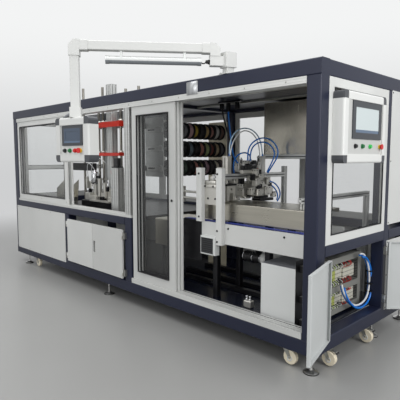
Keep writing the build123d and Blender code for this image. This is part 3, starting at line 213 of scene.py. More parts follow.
# Sheet panels, leaves and the arm: folded steel sheet and tube, powder coated in pale grey. The two
# leaves of the end cabinet have a slightly darker coat.
pale = powder_coat("pale_grey_coat", linear(206, 207, 204), 0.45)
leaf_coat = powder_coat("leaf_coat", linear(188, 191, 190), 0.42)
dress(pale, "side_panels", "cabinet_door_left", "window_frames", "sliding_door_2", "sliding_door_3",
      "arm_beam", "arm_column", "drop_tube", "conveyor_plates")
dress(leaf_coat, "end_leaf_left", "end_leaf_right")


# Pull and lock: the right cabinet door has a black moulded pull in its slot, and the first sliding door
# a dark lock. Both stand proud of the coated face, so a zone of the same skin takes the moulding's colour.
def between(value, low, high):
    """1 where a value lies between two limits, and 0 elsewhere."""
    return (value > low) * (value < high)


moulded = linear(24, 24, 26)
moulded_zones = (("cabinet_door_right", (-2.5275, -0.5, 0.48), 0.013, 0.056, 0.4745),
                 ("sliding_door_1", (-1.362, 0.0, 1.023), 0.014, 0.014, 0.0082))
for node_name, middle, half_x, half_z, front in moulded_zones:
    zone = Finish(node_name + "_skin")
    x, y, z = zone.seen_from(spot(*middle))
    mask = between(x, -half_x, half_x) * between(z, -half_z, half_z) * (y < front)
    dark_tone = tuple(0.86 * c for c in linear(196, 197, 194))
    coat_tone = zone.mix(zone.noise(1.7, 2.0), dark_tone, linear(202, 203, 200))
    zone.onto(node_name, zone.mix(mask, coat_tone, moulded), 0.45 - 0.1 * mask, zone.noise(420.0, 1.0),
              0.00012)


# Bright stock: drawn extrusion, machined blocks, rolled stainless sheet, ground rods and zinc-plated
# steel. Grain lines run along one axis, in tone and in a shallow bump.
def metal(name, colour, rough, stretch, grain=0.00006, metallic=1.0):
    """Bare metal: stretched noise draws lines from 0.8 to 1.12 of the colour, and raises them by the
    grain height. The roughness is rough + 0.18 patches + 0.1 lines - 0.14."""
    stock = Finish(name)
    lines = stock.noise(60.0, 4.0, stretch)
    patch = stock.noise(5.0, 3.0)
    dark = tuple(0.8 * c for c in colour)
    light = tuple(min(1.0, 1.12 * c) for c in colour)
    return stock.surface(Base_Color=stock.mix(lines, dark, light), Metallic=metallic,
                         Roughness=rough + 0.18 * patch + 0.1 * lines - 0.14,
                         Normal=stock.bump(lines, grain))


anodised = metal("anodised_extrusion", linear(206, 207, 205), 0.42, (0.04, 1, 1), metallic=0.7)
machined = metal("machined_aluminium", linear(208, 206, 199), 0.36, (1, 1, 8), metallic=0.65)
stainless = metal("brushed_stainless", linear(188, 184, 172), 0.3, (0.03, 1, 1))
hood_sheet = metal("hood_sheet", linear(196, 190, 178), 0.24, (1, 1, 0.04))
rod_steel = metal("rod_steel", linear(126, 123, 117), 0.3, (1, 1, 0.1), 0.00002)
chrome = metal("ground_rod", linear(205, 206, 208), 0.16, (1, 1, 0.2), 0.00001)
zinc = metal("zinc_plate", linear(178, 178, 172), 0.4, (1, 1, 1), 0.00004)
dull_black = powder_coat("black_plastic", linear(24, 24, 26), 0.45, 0.00005)
dark_steel_and_shade = powder_coat("dark_steel_and_shade", linear(34, 34, 37), 0.35, 0.00005, 0.6)
cream = powder_coat("cream_wheel", linear(224, 214, 190), 0.35, 0.00005)
red = powder_coat("red_coat", linear(196, 40, 20), 0.4)
dress(anodised, "mullion_post", "slotted_beams", "station_column")
dress(machined, "cylinders", "gripper_blocks")
dress(stainless, "trough", "chute_plates")
dress(hood_sheet, "hood")
# The conveyor legs and the electrics plate take the dark steel coat so that they read as the shaded inside of
# the machine: painted shade.
dress(dark_steel_and_shade, "conveyor_legs", "electrics_plate")
dress(rod_steel, "guide_rods")
dress(zinc, "door_hinges", "caster_plates", *[f"caster_{k}_fork" for k in range(1, 5)])
dress(dull_black, "station_base")
dress(red, "red_plates")
dress(cream, *[f"caster_{k}_wheel" for k in range(1, 5)])

# Door rails: pale drawn aluminium, fixed along the frame over and under the doors. The one along the
# sill has running grooves whose dark grey colour is painted shade.
rails = Finish("door_rail_extrusion")
sill = rails.seen_from((0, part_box("door_rails")[0][1] + 0.014, 0))
# The grooves are painted dark grey: painted shade in the recesses.
shaded_groove = (sill[1].part_of(0.031) < 0.14) * (sill[2] < 0.5)
rail_tone = rails.mix(rails.noise(40.0, 3.0, (0.04, 1, 1)), linear(196, 197, 194), linear(220, 221, 218))
rails.onto("door_rails", rails.mix(shaded_groove, rail_tone, linear(70, 71, 72)), 0.4 + 0.1 * rails.noise(20.0),
           1 - shaded_groove, 0.002, Metallic=0.25)

# Reel rack: two coated plates that carry the spindles between them, grey-white in front and cream at
# the back.
rack = Finish("rack_plates")
depth = rack.seen_from(spot(0, 0.6, 0))[1]
rack_tone = rack.mix(depth > 0, linear(176, 178, 176), linear(214, 206, 182))
rack.onto("reel_rack", rack_tone, 0.4 + 0.1 * rack.noise(6.0), rack.noise(300.0, 1.0), 0.0001, Metallic=0.1)

# Levelling feet: a black rubber pad under a bright dome, with a plated stud that screws into the base
# frame and a nut that locks it.
foot = Finish("foot_finish")
pad_high = 0.0062
pad = foot.seen_from()[2] < pad_high
foot.onto("levelling_feet", foot.mix(pad, linear(190, 190, 188), linear(22, 22, 23)),
          0.24 + 0.5 * pad + 0.1 * foot.noise(40.0), foot.noise(200.0), 0.00005, Metallic=1 - pad)

# Wire reels: coloured windings on black moulded reels, threaded on a bright spindle. The winding's
# colour changes from reel to reel, and fine turns of wire run round it.
first_reel, reel_pitch, reel_count = 0.29, 0.072, 10
flange_thick, winding_end, reel_end, wire_pitch = 0.0044, 0.0556, 0.0605, 0.0018
reel_colours = {
    "top": [(212, 210, 206), (226, 224, 220), (122, 122, 124), (186, 150, 152), (196, 170, 70), (58, 54, 54),
            (200, 172, 120), (188, 138, 128), (176, 174, 168), (104, 78, 68)],
    "middle": [(104, 112, 122), (196, 92, 62), (30, 30, 32), (92, 104, 112), (52, 46, 46), (176, 120, 108),
               (150, 160, 110), (120, 66, 56), (168, 150, 120), (90, 90, 94)],
    "bottom": [(176, 172, 166), (184, 70, 72), (70, 84, 74), (40, 38, 40), (186, 128, 120), (128, 130, 92),
               (150, 124, 132), (60, 58, 60), (190, 184, 168), (84, 62, 62)],
}
for row, colours in reel_colours.items():
    reel = Finish(f"reels_{row}")
    run = reel.seen_from(spot(0, first_reel, 0))[1]
    ramp = [(k / reel_count, linear(*c)) for k, c in enumerate(colours)]
    row_long = reel_pitch * reel_count
    wound = reel.node("ShaderNodeValToRGB", {"stops": ramp}, {"Fac": run * (1 / row_long)})
    share = run.part_of(reel_pitch)
    on_row = between(run, 0, row_long)
    flange = 1 - between(share, flange_thick / reel_pitch, winding_end / reel_pitch) * on_row
    spindle = 1 - (share < reel_end / reel_pitch) * on_row
    tone = reel.mix(spindle, reel.mix(flange, wound, linear(20, 20, 22)), linear(186, 186, 184))
    turns = run.part_of(wire_pitch)
    reel.onto(f"reel_row_{row}", tone, 0.5 - 0.2 * spindle + 0.1 * reel.noise(30.0), turns * (1 - flange),
              0.0006, Metallic=0.9 * spindle)

# Conveyor belt: moulded blue plastic links, pinned together into a closed loop. Raised blocks in rows
# across the belt stand for the links and their hinge eyes, and the ground between them is a darker blue:
# painted shade.
belt = Finish("belt_links")
run, depth = belt.seen_from(spot(0, 0.168, 0))[:2]
link_pitch, eye_pitch = 0.0127, 0.0125
raised = between(run.part_of(link_pitch), 0.18, 0.8) * between(depth.part_of(eye_pitch), 0.15, 0.85)
# The lower ground between the raised blocks is painted a darker blue: painted shade.
belt.onto("conveyor_belt", belt.mix(raised, linear(18, 30, 96), linear(46, 72, 186)),
          0.42 + 0.1 * belt.noise(30.0), raised, 0.0012)

# Operator box: pale extruded bars round a lighter panel, with dark moulded corner caps, a dark bezel
# round a pale screen, and a row of round controls.
box_centre = spot(0.0, 0.435, 1.565)
console_controls = {
    "black": linear(30, 30, 32), "cap": linear(70, 72, 76), "bezel": linear(58, 61, 66),
    "screen": linear(196, 206, 206), "strip": linear(88, 106, 128), "green": linear(30, 110, 60),
    "lit": linear(60, 190, 90), "yellow": linear(226, 184, 30), "red": linear(196, 28, 26),
}


def console_skin(name, origin, turn, screen, buttons, bezel, screen_tone, face_axis):
    """The controls' colours by their place on the panel: a bezel and in it a screen, each inside its
    middle plus or minus half its size, a strip over the screen's lowest eighth, and square zones for the
    buttons. Across runs along the panel and out runs towards the operator."""
    skin = Finish(name)
    x, y, z = skin.seen_from(origin, turn)
    across, out = (y, x) if face_axis == "x" else (x, 0 - y)
    tones = console_controls

    def patch(middle, level, half_wide, half_high):
        wide_zone = between(across, middle - half_wide, middle + half_wide)
        return wide_zone * between(z, level - half_high, level + half_high)

    (screen_x, screen_z), (wide, tall) = screen
    in_screen = patch(screen_x, screen_z, wide / 2, tall / 2)
    strip = in_screen * (z < screen_z - tall / 2 + 0.12 * tall)
    tone = skin.mix(patch(*bezel[0], bezel[1][0] / 2, bezel[1][1] / 2), tones["cap"], tones["bezel"])
    tone = skin.mix(in_screen, tone, screen_tone)
    tone = skin.mix(strip, tone, tones["strip"])
    for place, level, half, colour in buttons:
        tone = skin.mix(patch(place, level, half, half), tone, tones[colour])
    return skin, tone, in_screen, out


button_level, button_half, stop_half = -0.115, 0.016, 0.019
box_buttons = [(-0.131, button_level, button_half, "black"), (-0.035, button_level, button_half, "green"),
               (0.073, button_level, button_half, "lit"), (0.219, button_level, stop_half, "yellow")]
skin, tone, lit, out = console_skin("operator_controls", box_centre, 0.0, ((0.025, 0.05), (0.328, 0.159)),
                                    box_buttons, ((0.025, 0.05), (0.41, 0.241)),
                                    console_controls["screen"], "x")
box_y, box_z = skin.seen_from(box_centre)[1:]
mushroom = between(box_y, 0.195, 0.243) * (out > 0.0795)
tone = skin.mix(mushroom * between(box_z, button_level - 0.02, button_level + 0.02), tone,
                console_controls["red"])
skin.onto("operator_box_controls", tone, 0.38 - 0.26 * lit, skin.noise(500.0, 1.0), 0.00004)
housing = Finish("operator_box_skin")
x, y, z = housing.seen_from(box_centre)
panel = (x < 0.0705) * (x > 0.05) * between(y, -0.236, 0.236) * between(z, -0.165, 0.165)
box_tone = housing.mix(panel, linear(216, 217, 214), linear(190, 191, 188))
housing.onto("operator_box", box_tone, 0.38 + 0.06 * housing.noise(9.0), housing.noise(420.0, 1.0), 0.00006)

# Pendant: the same make of box with a slate screen. It hangs from the arm, which swings on its column;
# heading is the way that the arm points and turn is the way that the pendant faces.
column, arm_reach = np.array([-0.785, 0.053, 0.0]), 1.076
heading, turn = radians(52), radians(9)
along_arm = np.array([-cos(heading), -sin(heading), 0])
pendant = column + along_arm * arm_reach + (0, 0, 1.5)
button_level = -0.074
pendant_buttons = [(-0.084, button_level, button_half, "black"), (-0.028, button_level, button_half, "green"),
                   (0.028, button_level, button_half, "red"), (0.084, button_level, stop_half, "yellow")]
skin, tone, lit, out = console_skin("pendant_controls", spot(*pendant), turn, ((0.0, 0.03), (0.176, 0.1)),
                                    pendant_buttons, ((0.0, 0.03), (0.222, 0.142)), linear(70, 82, 98), "y")
px, py, pz = skin.seen_from(spot(*pendant), turn)
mushroom = between(px, 0.06, 0.108) * between(pz, button_level - 0.02, button_level + 0.02) * (py < -0.0485)
tone = skin.mix(mushroom, tone, console_controls["red"])
skin.onto("pendant_screen", tone, 0.38 - 0.26 * lit, skin.noise(500.0, 1.0), 0.00004)
dress(pale, "pendant_box")

# Lamp: a pale bar that is fixed to the arm, partly bright like aluminium, with a plain grey strip along
# its underside.
lamp = Finish("lamp_skin")
strip_level = 2.049
below = lamp.seen_from()[2] < strip_level
lamp.onto("lamp_bar", lamp.mix(below, linear(214, 216, 214), linear(120, 124, 128)),
          0.35 + 0.1 * lamp.noise(8.0), lamp.noise(300.0), 0.00004, Metallic=0.4 - 0.4 * below)

# Terminal rows: moulded blocks on a rail, dark grey at the front, then yellow-green, cream and dark
# again, with screw wells in their faces. The gaps between blocks and the wells are near black: painted shade.
terminals = Finish("terminal_blocks")
along, up = terminals.seen_from(spot(0, 0.0, 0))[1:]
ramp = [(0.0, linear(70, 72, 76)), (0.44, linear(178, 186, 96)), (0.56, linear(206, 204, 190)),
        (0.84, linear(60, 60, 62))]
row_tone = terminals.node("ShaderNodeValToRGB", {"stops": ramp}, {"Fac": along})
block_pitch, well_pitch = 0.014, 0.03
shaded_gap = along.part_of(block_pitch) < 0.14
shaded_well = between(up.part_of(well_pitch), 0.4, 0.6) * between(along.part_of(block_pitch), 0.35, 0.8)
# Gaps and wells take a near black tone: painted shade.
terminals.onto("terminal_rows", terminals.mix(shaded_gap + shaded_well, row_tone, linear(26, 26, 28)),
               0.45 + 0.1 * terminals.noise(50.0), 1 - shaded_well, 0.0008)

# Wiring ducts: grey moulded channels with a lid, whose side walls are slotted so that wires leave
# anywhere. The slots are painted near black: painted shade of the duct's inside.
duct = Finish("slotted_duct")
x, y, z = duct.seen_from(spot(-0.154, 0.867, 0.0))
along = y + (z - y) * (y > 0)
shaded_slit = (x < -0.006) * (along.part_of(0.0125) < 0.42)
# The slits take a near black tone: painted shade.
duct.onto("wire_ducts", duct.mix(shaded_slit, linear(122, 122, 117), linear(18, 18, 19)),
          0.5 + 0.08 * duct.noise(20.0), 1 - shaded_slit, 0.001)

# Boxes by the conveyor: grey housings, the lower one with a darker lid, the small one with a slotted
# black front in a white rim. The slots are painted darker still: painted shade.
boxes = Finish("lower_box_skin")
bx, by, bz = boxes.seen_from(spot(-1.051, 0, 0.68))
front_zone = between(bx, -0.068, 0.068) * between(bz, -0.062, 0.062) * (by < 0.1085)
shaded_slots = front_zone * (bz.part_of(0.016) < 0.55)
lid = (bz > -0.0482) * (bx > 0.3)
lower_tone = boxes.mix(front_zone, linear(206, 208, 206), linear(40, 42, 46))
# The slots take a tone darker than the front: painted shade.
lower_tone = boxes.mix(shaded_slots, lower_tone, linear(12, 12, 13))
lower_tone = boxes.mix(lid, lower_tone, linear(92, 94, 98))
boxes.onto("lower_boxes", lower_tone, 0.45 + 0.06 * boxes.noise(8.0), 1 - shaded_slots, 0.0015)

# Clear sheet: thin window and door sheets. A mix of plain see-through and a faint reflection stands for
# them, so that they throw no hard shadow. The reflection is on the faces seen from outside only.
sheet_glass = Finish("clear_sheet")
gloss = sheet_glass.node("ShaderNodeBsdfGlossy", {}, {"Roughness": 0.04, "Color": (1, 1, 1, 1)})
through = sheet_glass.node("ShaderNodeBsdfTransparent", {}, {"Color": (0.98, 0.983, 0.982, 1)})
edge = sheet_glass.node("ShaderNodeFresnel", {}, {"IOR": 1.45})
inner = sheet_glass.node("ShaderNodeNewGeometry", output="Backfacing")
both = sheet_glass.node("ShaderNodeMixShader", {}, {0: 0.7 * edge * (1 - inner), 1: through, 2: gloss})
sheet_glass.node("ShaderNodeOutputMaterial", {}, {"Surface": both})
dress(sheet_glass.material, "window_glass", *[f"sliding_door_{k}_glass" for k in range(1, 4)])


# Seals: black rubber strips between each frame and its clear sheet, pressed in round the opening. Points
# of new pieces are measured like those of spot, and each door's strip rides on its door.
def unit(vector):
    """A vector, or each vector of an array, brought to length 1."""
    vector = np.asarray(vector, dtype=float)
    return vector / np.linalg.norm(vector, axis=-1, keepdims=True)


def grid_object(name, points, joined, smooth):
    """An object over grids of points. Points is copies by rows by columns by 3. The neighbours in each
    grid make its faces, and a direction that is joined runs on from its last line to its first."""
    copies, rows, columns = points.shape[:3]
    steps = [np.arange(count - (not runs_on)) for count, runs_on in zip((rows, columns), joined)]
    i, j = (index.ravel() for index in np.meshgrid(*steps, indexing="ij"))
    next_i, next_j = (i + 1) % rows, (j + 1) % columns
    corners = [i * columns + j, i * columns + next_j, next_i * columns + next_j, next_i * columns + j]
    quads = np.stack(corners, axis=1)
    quads = (quads[None] + (np.arange(copies) * rows * columns)[:, None, None]).reshape(-1, 4)
    mesh = bpy.data.meshes.new(name)
    mesh.from_pydata(points.reshape(-1, 3).tolist(), [], quads.tolist())
    shell = bmesh.new()
    shell.from_mesh(mesh)
    bmesh.ops.remove_doubles(shell, verts=shell.verts, dist=1e-6)
    bmesh.ops.recalc_face_normals(shell, faces=shell.faces)
    shell.to_mesh(mesh)
    shell.free()
    mesh.polygons.foreach_set("use_smooth", [smooth] * len(mesh.polygons))
    made = bpy.data.objects.new(name, mesh)
    bpy.context.scene.collection.objects.link(made)
    return made


def piece(name, points, finish, joined=(False, True), body="frame", smooth=True):
    """A new piece that rides on a body. Its points are measured from the front right corner, and its
    finish is a material and a slot name, of which the slot name is not used."""
    points = np.asarray(points, dtype=float) + spot(0, 0, 0)
    made = grid_object(name, points if points.ndim == 4 else points[None], joined, smooth)
    made.data.materials.append(finish[0])
    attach(made, body)
    return made


def loop(centre, across, wide, high, thick, deep):
    """A mitred ring round an upright opening: a small square outline is carried round the four corners."""
    across, up = unit(across), np.array([0, 0, 1])
    out = np.cross(across, up)
    corners = np.array([(-1, -1), (1, -1), (1, 1), (-1, 1)])
    outline = np.array([(0, 0), (thick, 0), (thick, deep), (0, deep)])
    flat = corners[:, None] * (np.array([wide, high]) / 2 - outline[None, :, :1])
    return np.array(centre) + flat[..., :1] * across + flat[..., 1:] * up + outline[None, :, 1:] * out


rubber = (powder_coat("rubber_seal", linear(26, 26, 28), 0.6, 0.00008), "black_plastic")
closed = (True, True)
seal_thick, seal_deep, door_seal_deep = 0.007, 0.008, 0.012
guard_low, guard_high = 0.851, 1.827
guard_x, guard_z = -3.77, (guard_low + guard_high) / 2
guard_size = (1.17, guard_high - guard_low - 0.12)
seals = [("seal_guard_0", (guard_x, 0.0145, guard_z), (1, 0, 0), guard_size),
         ("seal_guard_1", (guard_x, 0.0705, guard_z), (1, 0, 0), guard_size),
         ("seal_right_end_0", (-0.005, 0.5275, 1.3475), (0, 1, 0), (0.735, 0.925)),
         ("seal_left_end_0", (-4.485, 0.75, 1.0535), (0, -1, 0), (1.18, 0.337)),
         ("seal_left_end_1", (-4.485, 0.75, 1.5385), (0, -1, 0), (1.18, 0.543))]
for name, centre, across, (wide, high) in seals:
    strip = loop(centre, across, wide, high, seal_thick, seal_deep)
    piece(name, strip, rubber, closed, smooth=False)
opening_left, stagger, track_pitch = -1.91, 0.010, 0.028
leaf_wide, leaf_high, leaf_bars, leaf_z = 0.5867, 1.563, 0.156, 1.045
for k in range(3):
    centre = (opening_left + stagger * k + leaf_wide / 2, 0.0095 + track_pitch * k, leaf_z)
    strip = loop(centre, (1, 0, 0), leaf_wide - leaf_bars, leaf_high - leaf_bars, seal_thick, door_seal_deep)
    piece(f"seal_door_{k + 1}", strip, rubber, closed, f"sliding_door_{k + 1}", smooth=False)


# Screws: low domed heads with a recess, zinc plated or blackened, in rows along the covers, frames and
# rails, and hexagon bolts that hold the conveyor's plates and posts and the arm's flange.
def turned(centres, axis, profile, sides=12):
    """Round pieces: a profile of radius and height in millimetres is turned about an axis through each
    centre. A point is centre + radius (cos a, sin a) on two cross directions + height along the axis."""
    axis = unit(axis)
    first = unit(np.cross(axis, (0, 0, 1) if abs(axis[2]) < 0.9 else (1, 0, 0)))
    second = np.cross(axis, first)
    angle = np.arange(sides) * 2 * pi / sides
    ring = np.cos(angle)[:, None] * first + np.sin(angle)[:, None] * second
    radius, height = np.array(profile).T / 1000
    shape = radius[:, None, None] * ring + height[:, None, None] * axis
    return np.asarray(centres, dtype=float).reshape(-1, 1, 1, 3) + shape


plated, dark = (zinc, "zinc_plate"), (dark_steel_and_shade, "black_plastic")
dome = [(0, -0.5), (5.5, -0.5), (5.5, 1.2), (4.2, 2.8), (2.4, 3.3), (2.2, 1.2), (0, 1.2)]
bolt = [(0, -0.5), (9.5, -0.5), (9.5, 0.6), (6.5, 1.2), (6.5, 5.8), (5.2, 6.8), (0, 6.8)]
cover = [(x, -0.002, z) for x in np.linspace(-4.44, -3.225, 5) for z in (0.212, 0.736)]
guard_sides = (-4.385, -3.155)
guards = [(x, 0.0085, z) for x in (guard_sides[0], guard_x, guard_sides[1])
          for z in (guard_low + 0.03, guard_high - 0.03)]
guards += [(x, 0.0085, 1.34) for x in guard_sides]
piece("cover_screws", turned(cover + guards, (0, -1, 0), dome, 10), plated)
end_cover = [(0.002, y, z) for y in (1.02, 1.44) for z in (0.21, 0.47, 0.728, 0.88, 1.35, 1.86)]
piece("end_screws", turned(end_cover, (1, 0, 0), dome, 10), dark)
plate_bolts = [(-0.872, 0.16, 0.828), (-0.352, 0.16, 0.828)]
plate_bolts += [(-0.953, 0.12, z) for z in (0.719, 0.806, 1.25)]
plate_bolts += [(-1.165, 0.128, z) for z in (0.9, 1.25)]
piece("plate_bolts", turned(plate_bolts, (0, -1, 0), bolt, 6), (dark_steel_and_shade, "zinc_plate"), smooth=False)
rail_screws = [(x, 0.0, 1.8485) for x in np.linspace(-4.3, -0.25, 13)]
piece("rail_screws", turned(rail_screws, (0, -1, 0), dome, 10), plated)
flange_top, flange_half = 1.98, 0.04
flange_cos, flange_sin = cos(radians(-14)), sin(radians(-14))
flange_bolts = [column + (a * flange_cos - b * flange_sin, a * flange_sin + b * flange_cos, flange_top)
                for a in (-flange_half, flange_half) for b in (-flange_half, flange_half)]
piece("arm_bolts", turned(flange_bolts, (0, 0, 1), bolt, 6), plated, smooth=False)


# Bare plate on the roof beam: thin etched aluminium with nothing on it, held by four rivets near its
# corners.
def bars(starts, reach, wide, high, up=(0, 0, 1), round_off=0.12):
    """Straight bars with softened corners, each from its start to start + reach. An eight-sided outline,
    whose corners are cut back by a share of its smaller side, is carried along and drawn in a little at
    both ends."""
    starts = np.asarray(starts, dtype=float).reshape(-1, 3)
    reach = np.broadcast_to(np.asarray(reach, dtype=float), starts.shape)
    along = unit(reach)
    side = unit(np.cross(along, up))
    lift = np.cross(side, along)
    half = np.stack(np.broadcast_arrays(np.asarray(wide) / 2, np.asarray(high) / 2), axis=-1)
    half = np.broadcast_to(half, (len(starts), 2))
    cut = round_off * 2 * half.min(axis=1, keepdims=True)
    signs = np.array([(1, -1), (1, 1), (1, 1), (-1, 1), (-1, 1), (-1, -1), (-1, -1), (1, -1)])
    drawn = np.array([(0, 1), (0, 1), (1, 0), (1, 0), (0, 1), (0, 1), (1, 0), (1, 0)])
    outline = signs * (half[:, None] - drawn * cut[:, None])
    across = outline[..., :1] * side[:, None] + outline[..., 1:] * lift[:, None]
    length = np.linalg.norm(reach, axis=1, keepdims=True)
    near_end = 0.86
    rows = []
    for place, inset in ((0 * cut, 0), (0 * cut, near_end), (cut, 1), (length - cut, 1), (length, near_end),
                         (length, 0)):
        rows.append((starts + along * place)[:, None] + inset * across)
    return np.stack(rows, axis=1)


def bar_piece(name, starts, reach, wide, high, finish, smooth=False, body="frame", **shape):
    """A new piece made of bars, as a rule with flat faces."""
    return piece(name, bars(starts, reach, wide, high, **shape), finish, body=body, smooth=smooth)


bare = metal("bare_plate", linear(198, 200, 202), 0.35, (1, 1, 0.1))
bar_piece("beam_plate", [(-1.167, -0.0015, 1.9045)], (0.121, 0, 0), 0.099, 0.003, (bare, "zinc_plate"),
          smooth=True, up=(0, 1, 0), round_off=0.3)
rivets = [(x, -0.003, z) for x in (-1.158, -1.055) for z in (1.863, 1.946)]
rivet = [(0, 0), (3, 0), (2.5, 1.2), (0, 1.8)]
piece("beam_plate_rivets", turned(rivets, (0, -1, 0), rivet, 10), plated)

# Roof: navy sheets that lie in the ring of roof tubes, three side by side over the right bay and two over
# the rear of the left bay, where the rods need the front strip open. Two flat bars run under the right
# bay's sheets.
sheet_level, sheet_gap, sheet_thick = 1.9, 0.003, 0.003
sheet_rows = (("roof_sheets_right", (-1.985, -1.36, -0.73, -0.1), 0.75, 1.3),
              ("roof_sheets_left", (-4.42, -3.24, -2.06), 0.985, 0.83))
for name, edges, middle_y, deep in sheet_rows:
    starts = [(x + sheet_gap, middle_y, sheet_level) for x in edges[:-1]]
    reach = [(right - left - 2 * sheet_gap, 0, 0) for left, right in zip(edges, edges[1:])]
    bar_piece(name, starts, reach, deep, sheet_thick, (navy, "navy_paint"))
brace_level = 1.8893
bar_piece("roof_brace", [(-1.98, y, brace_level) for y in (0.42, 0.86)], (1.88, 0, 0), 0.022, 0.018, plated)

# Drive under the conveyor: a geared motor with ribbed black housing and a pale end bell, hung from the
# conveyor's plates, three dark rails that run along the floor tray, and a small valve block beside them.
black, painted = (dull_black, "black_plastic"), (pale, "light_grey_paint")
polished, alloy = (chrome, "hard_chrome"), (machined, "bright_aluminium")
floor_level, rail_high = 0.223, 0.036
rail_starts = [(-1.9, y, floor_level + rail_high / 2) for y in (0.50, 0.68, 0.95)]
bar_piece("floor_rails", rail_starts, (1.28, 0, 0), 0.05, rail_high, dark)
motor = np.array([-0.93, 0.42, 0.575])
ribs = [(0, 0), (30, 0), (30, 12)]
ribs += [(r, 14 + 18 * k + step) for k in range(10) for r, step in ((44, 0), (44, 8), (38, 9), (38, 17))]
ribs += [(36, 200), (0, 200)]
piece("drive_motor", turned([motor], (1, 0, 0), ribs, 28), black)
bell = [(0, 200), (45, 200), (45, 222), (41, 236), (30, 246), (12, 250), (0, 250)]
piece("motor_bell", turned([motor], (1, 0, 0), bell, 28), painted)
band = [(38, 0), (47, 0), (47, 6), (38, 6)]
bands = [motor + (x, 0, 0) for x in (0.02, 0.11, 0.19)]
piece("motor_rings", turned(bands, (1, 0, 0), band, 28), polished, closed)
bar_piece("motor_hanger", [motor + (0.16, 0, 0.04)], (0, 0, 0.088), 0.012, 0.09, dark, up=(0, 1, 0))
bar_piece("floor_block", [(-0.76, 0.24, 0.25)], (0.07, 0, 0), 0.05, 0.054, alloy)
valve = [(0, 0), (12, 0), (12, 10), (8, 12), (8, 22), (11, 24), (11, 34), (0, 36)]
piece("floor_valves", turned([(x, 0.24, 0.277) for x in (-0.745, -0.712)], (0, 0, 1), valve, 14), polished)

# Slot strips: black rubber, pressed into the slots of the drawn beams that face the doors and the end
# window. Two run from front to back and one runs along the hood's beam.
strip_starts = [(-0.9655, 0.13, 1.226), (-0.2795, 0.275, 1.076), (-1.145, 0.9395, 1.385)]
bar_piece("slot_strips", strip_starts, [(0, 0.898, 0), (0, 1.015, 0), (1.04, 0, 0)], [0.009, 0.009, 0.002],
          [0.002, 0.002, 0.009], black, up=[(1, 0, 0), (1, 0, 0), (0, 0, 1)])

# Gripper heads: a stack of milled plates, slides and small cylinders bolted to the two hanging cylinders
# of the gantry, with dark blocks among them that stand for the shadows between the plates: painted shade.
# Each row gives the middle of a block from the right end and the front, and its size, in millimetres.
milled = np.array([
    (-1030, 455, 1300, 60, 50, 60), (-1020, 505, 1250, 50, 40, 90), (-1045, 560, 1335, 50, 70, 36),
    (-1015, 600, 1275, 62, 46, 74), (-1030, 655, 1220, 80, 60, 60), (-1010, 700, 1290, 34, 40, 110),
    (-1030, 620, 1140, 90, 80, 70), (-990, 560, 1180, 30, 60, 50), (-1050, 530, 1120, 60, 50, 90),
    (-1000, 470, 1090, 70, 50, 70), (-1030, 400, 1180, 60, 50, 50), (-1040, 710, 1120, 70, 60, 100),
    (-1000, 660, 1060, 60, 60, 60), (-1060, 590, 1050, 60, 80, 50), (-1030, 840, 1190, 70, 40, 50),
    (-1030, 860, 1090, 80, 70, 80), (-1000, 905, 1050, 40, 50, 50), (-1050, 430, 1040, 80, 60, 30),
    (-915, 540, 1255, 50, 40, 60), (-910, 590, 1215, 50, 60, 60), (-905, 540, 1175, 50, 60, 70),
    (-920, 620, 1150, 50, 50, 60), (-900, 560, 1090, 60, 90, 60), (-900, 650, 1095, 50, 50, 70),
    (-910, 480, 1100, 50, 40, 60), (-920, 700, 1180, 40, 40, 60), (-949, 600, 1205, 34, 220, 44),
]) / 1000
# The shaded rows are dark blocks set where the shadows between the milled blocks fall: painted shade.
shaded = np.array([
    (-1005, 545, 1300, 46, 24, 50), (-1020, 640, 1335, 40, 50, 40), (-995, 620, 1200, 24, 30, 60),
    (-1030, 490, 1180, 60, 30, 50), (-1010, 570, 1080, 50, 30, 70), (-985, 700, 1190, 20, 40, 40),
    (-1030, 440, 1235, 60, 30, 40), (-985, 835, 1140, 20, 40, 30), (-1020, 780, 1010, 90, 200, 24),
    (-915, 590, 1140, 44, 40, 34), (-905, 575, 1258, 40, 22, 40), (-900, 600, 1050, 60, 120, 18),
    (-880, 540, 1135, 16, 30, 30), (-915, 505, 1215, 40, 22, 50),
]) / 1000


def blocks(rows):
    """Block i runs along x from its middle minus half its length to its middle plus half its length."""
    reach = rows[:, 3:4] * np.array([[1, 0, 0]])
    return bars(rows[:, :3] - reach / 2, reach, rows[:, 4], rows[:, 5], round_off=0.07)


piece("milled_blocks", blocks(milled), alloy, smooth=False)
piece("dark_blocks", blocks(shaded), dark, smooth=False)
small_bolt = [(0, 0), (4, 0), (4, 4), (2.2, 4), (2.2, 1), (0, 1)]
end_place, side_place = 0.28, 0.25
end_bolts = [(x + dx / 2, y + side * dy * end_place, z + lift * dz * end_place)
             for x, y, z, dx, dy, dz in milled for side, lift in ((-1, 1), (1, -1))]
piece("block_screws", turned(end_bolts, (1, 0, 0), small_bolt, 10), black)
side_bolts = [(x + side * dx * side_place, y - dy / 2, z + dz * side_place)
              for x, y, z, dx, dy, dz in milled for side in (-1, 1)]
piece("side_screws", turned(side_bolts, (0, -1, 0), small_bolt, 10), black)
stub = [(0, 0), (10, 0), (10, 30), (12.5, 31), (12.5, 40), (4, 41), (4, 52), (0, 52)]
stub_places = ((0.47, 1.325), (0.60, 1.312), (0.70, 1.345), (0.655, 1.25), (0.86, 1.13))
piece("small_cylinders", turned([(-1.01, y, z) for y, z in stub_places], (0, 0, 1), stub, 16), polished)
button = [(0, 0), (11, 0), (11, 10), (16, 12), (16, 20), (11, 26), (0, 27)]
piece("stop_button", turned([(-0.985, 0.64, 1.27)], (1, 0, 0), button, 16), (red, "red_paint"))


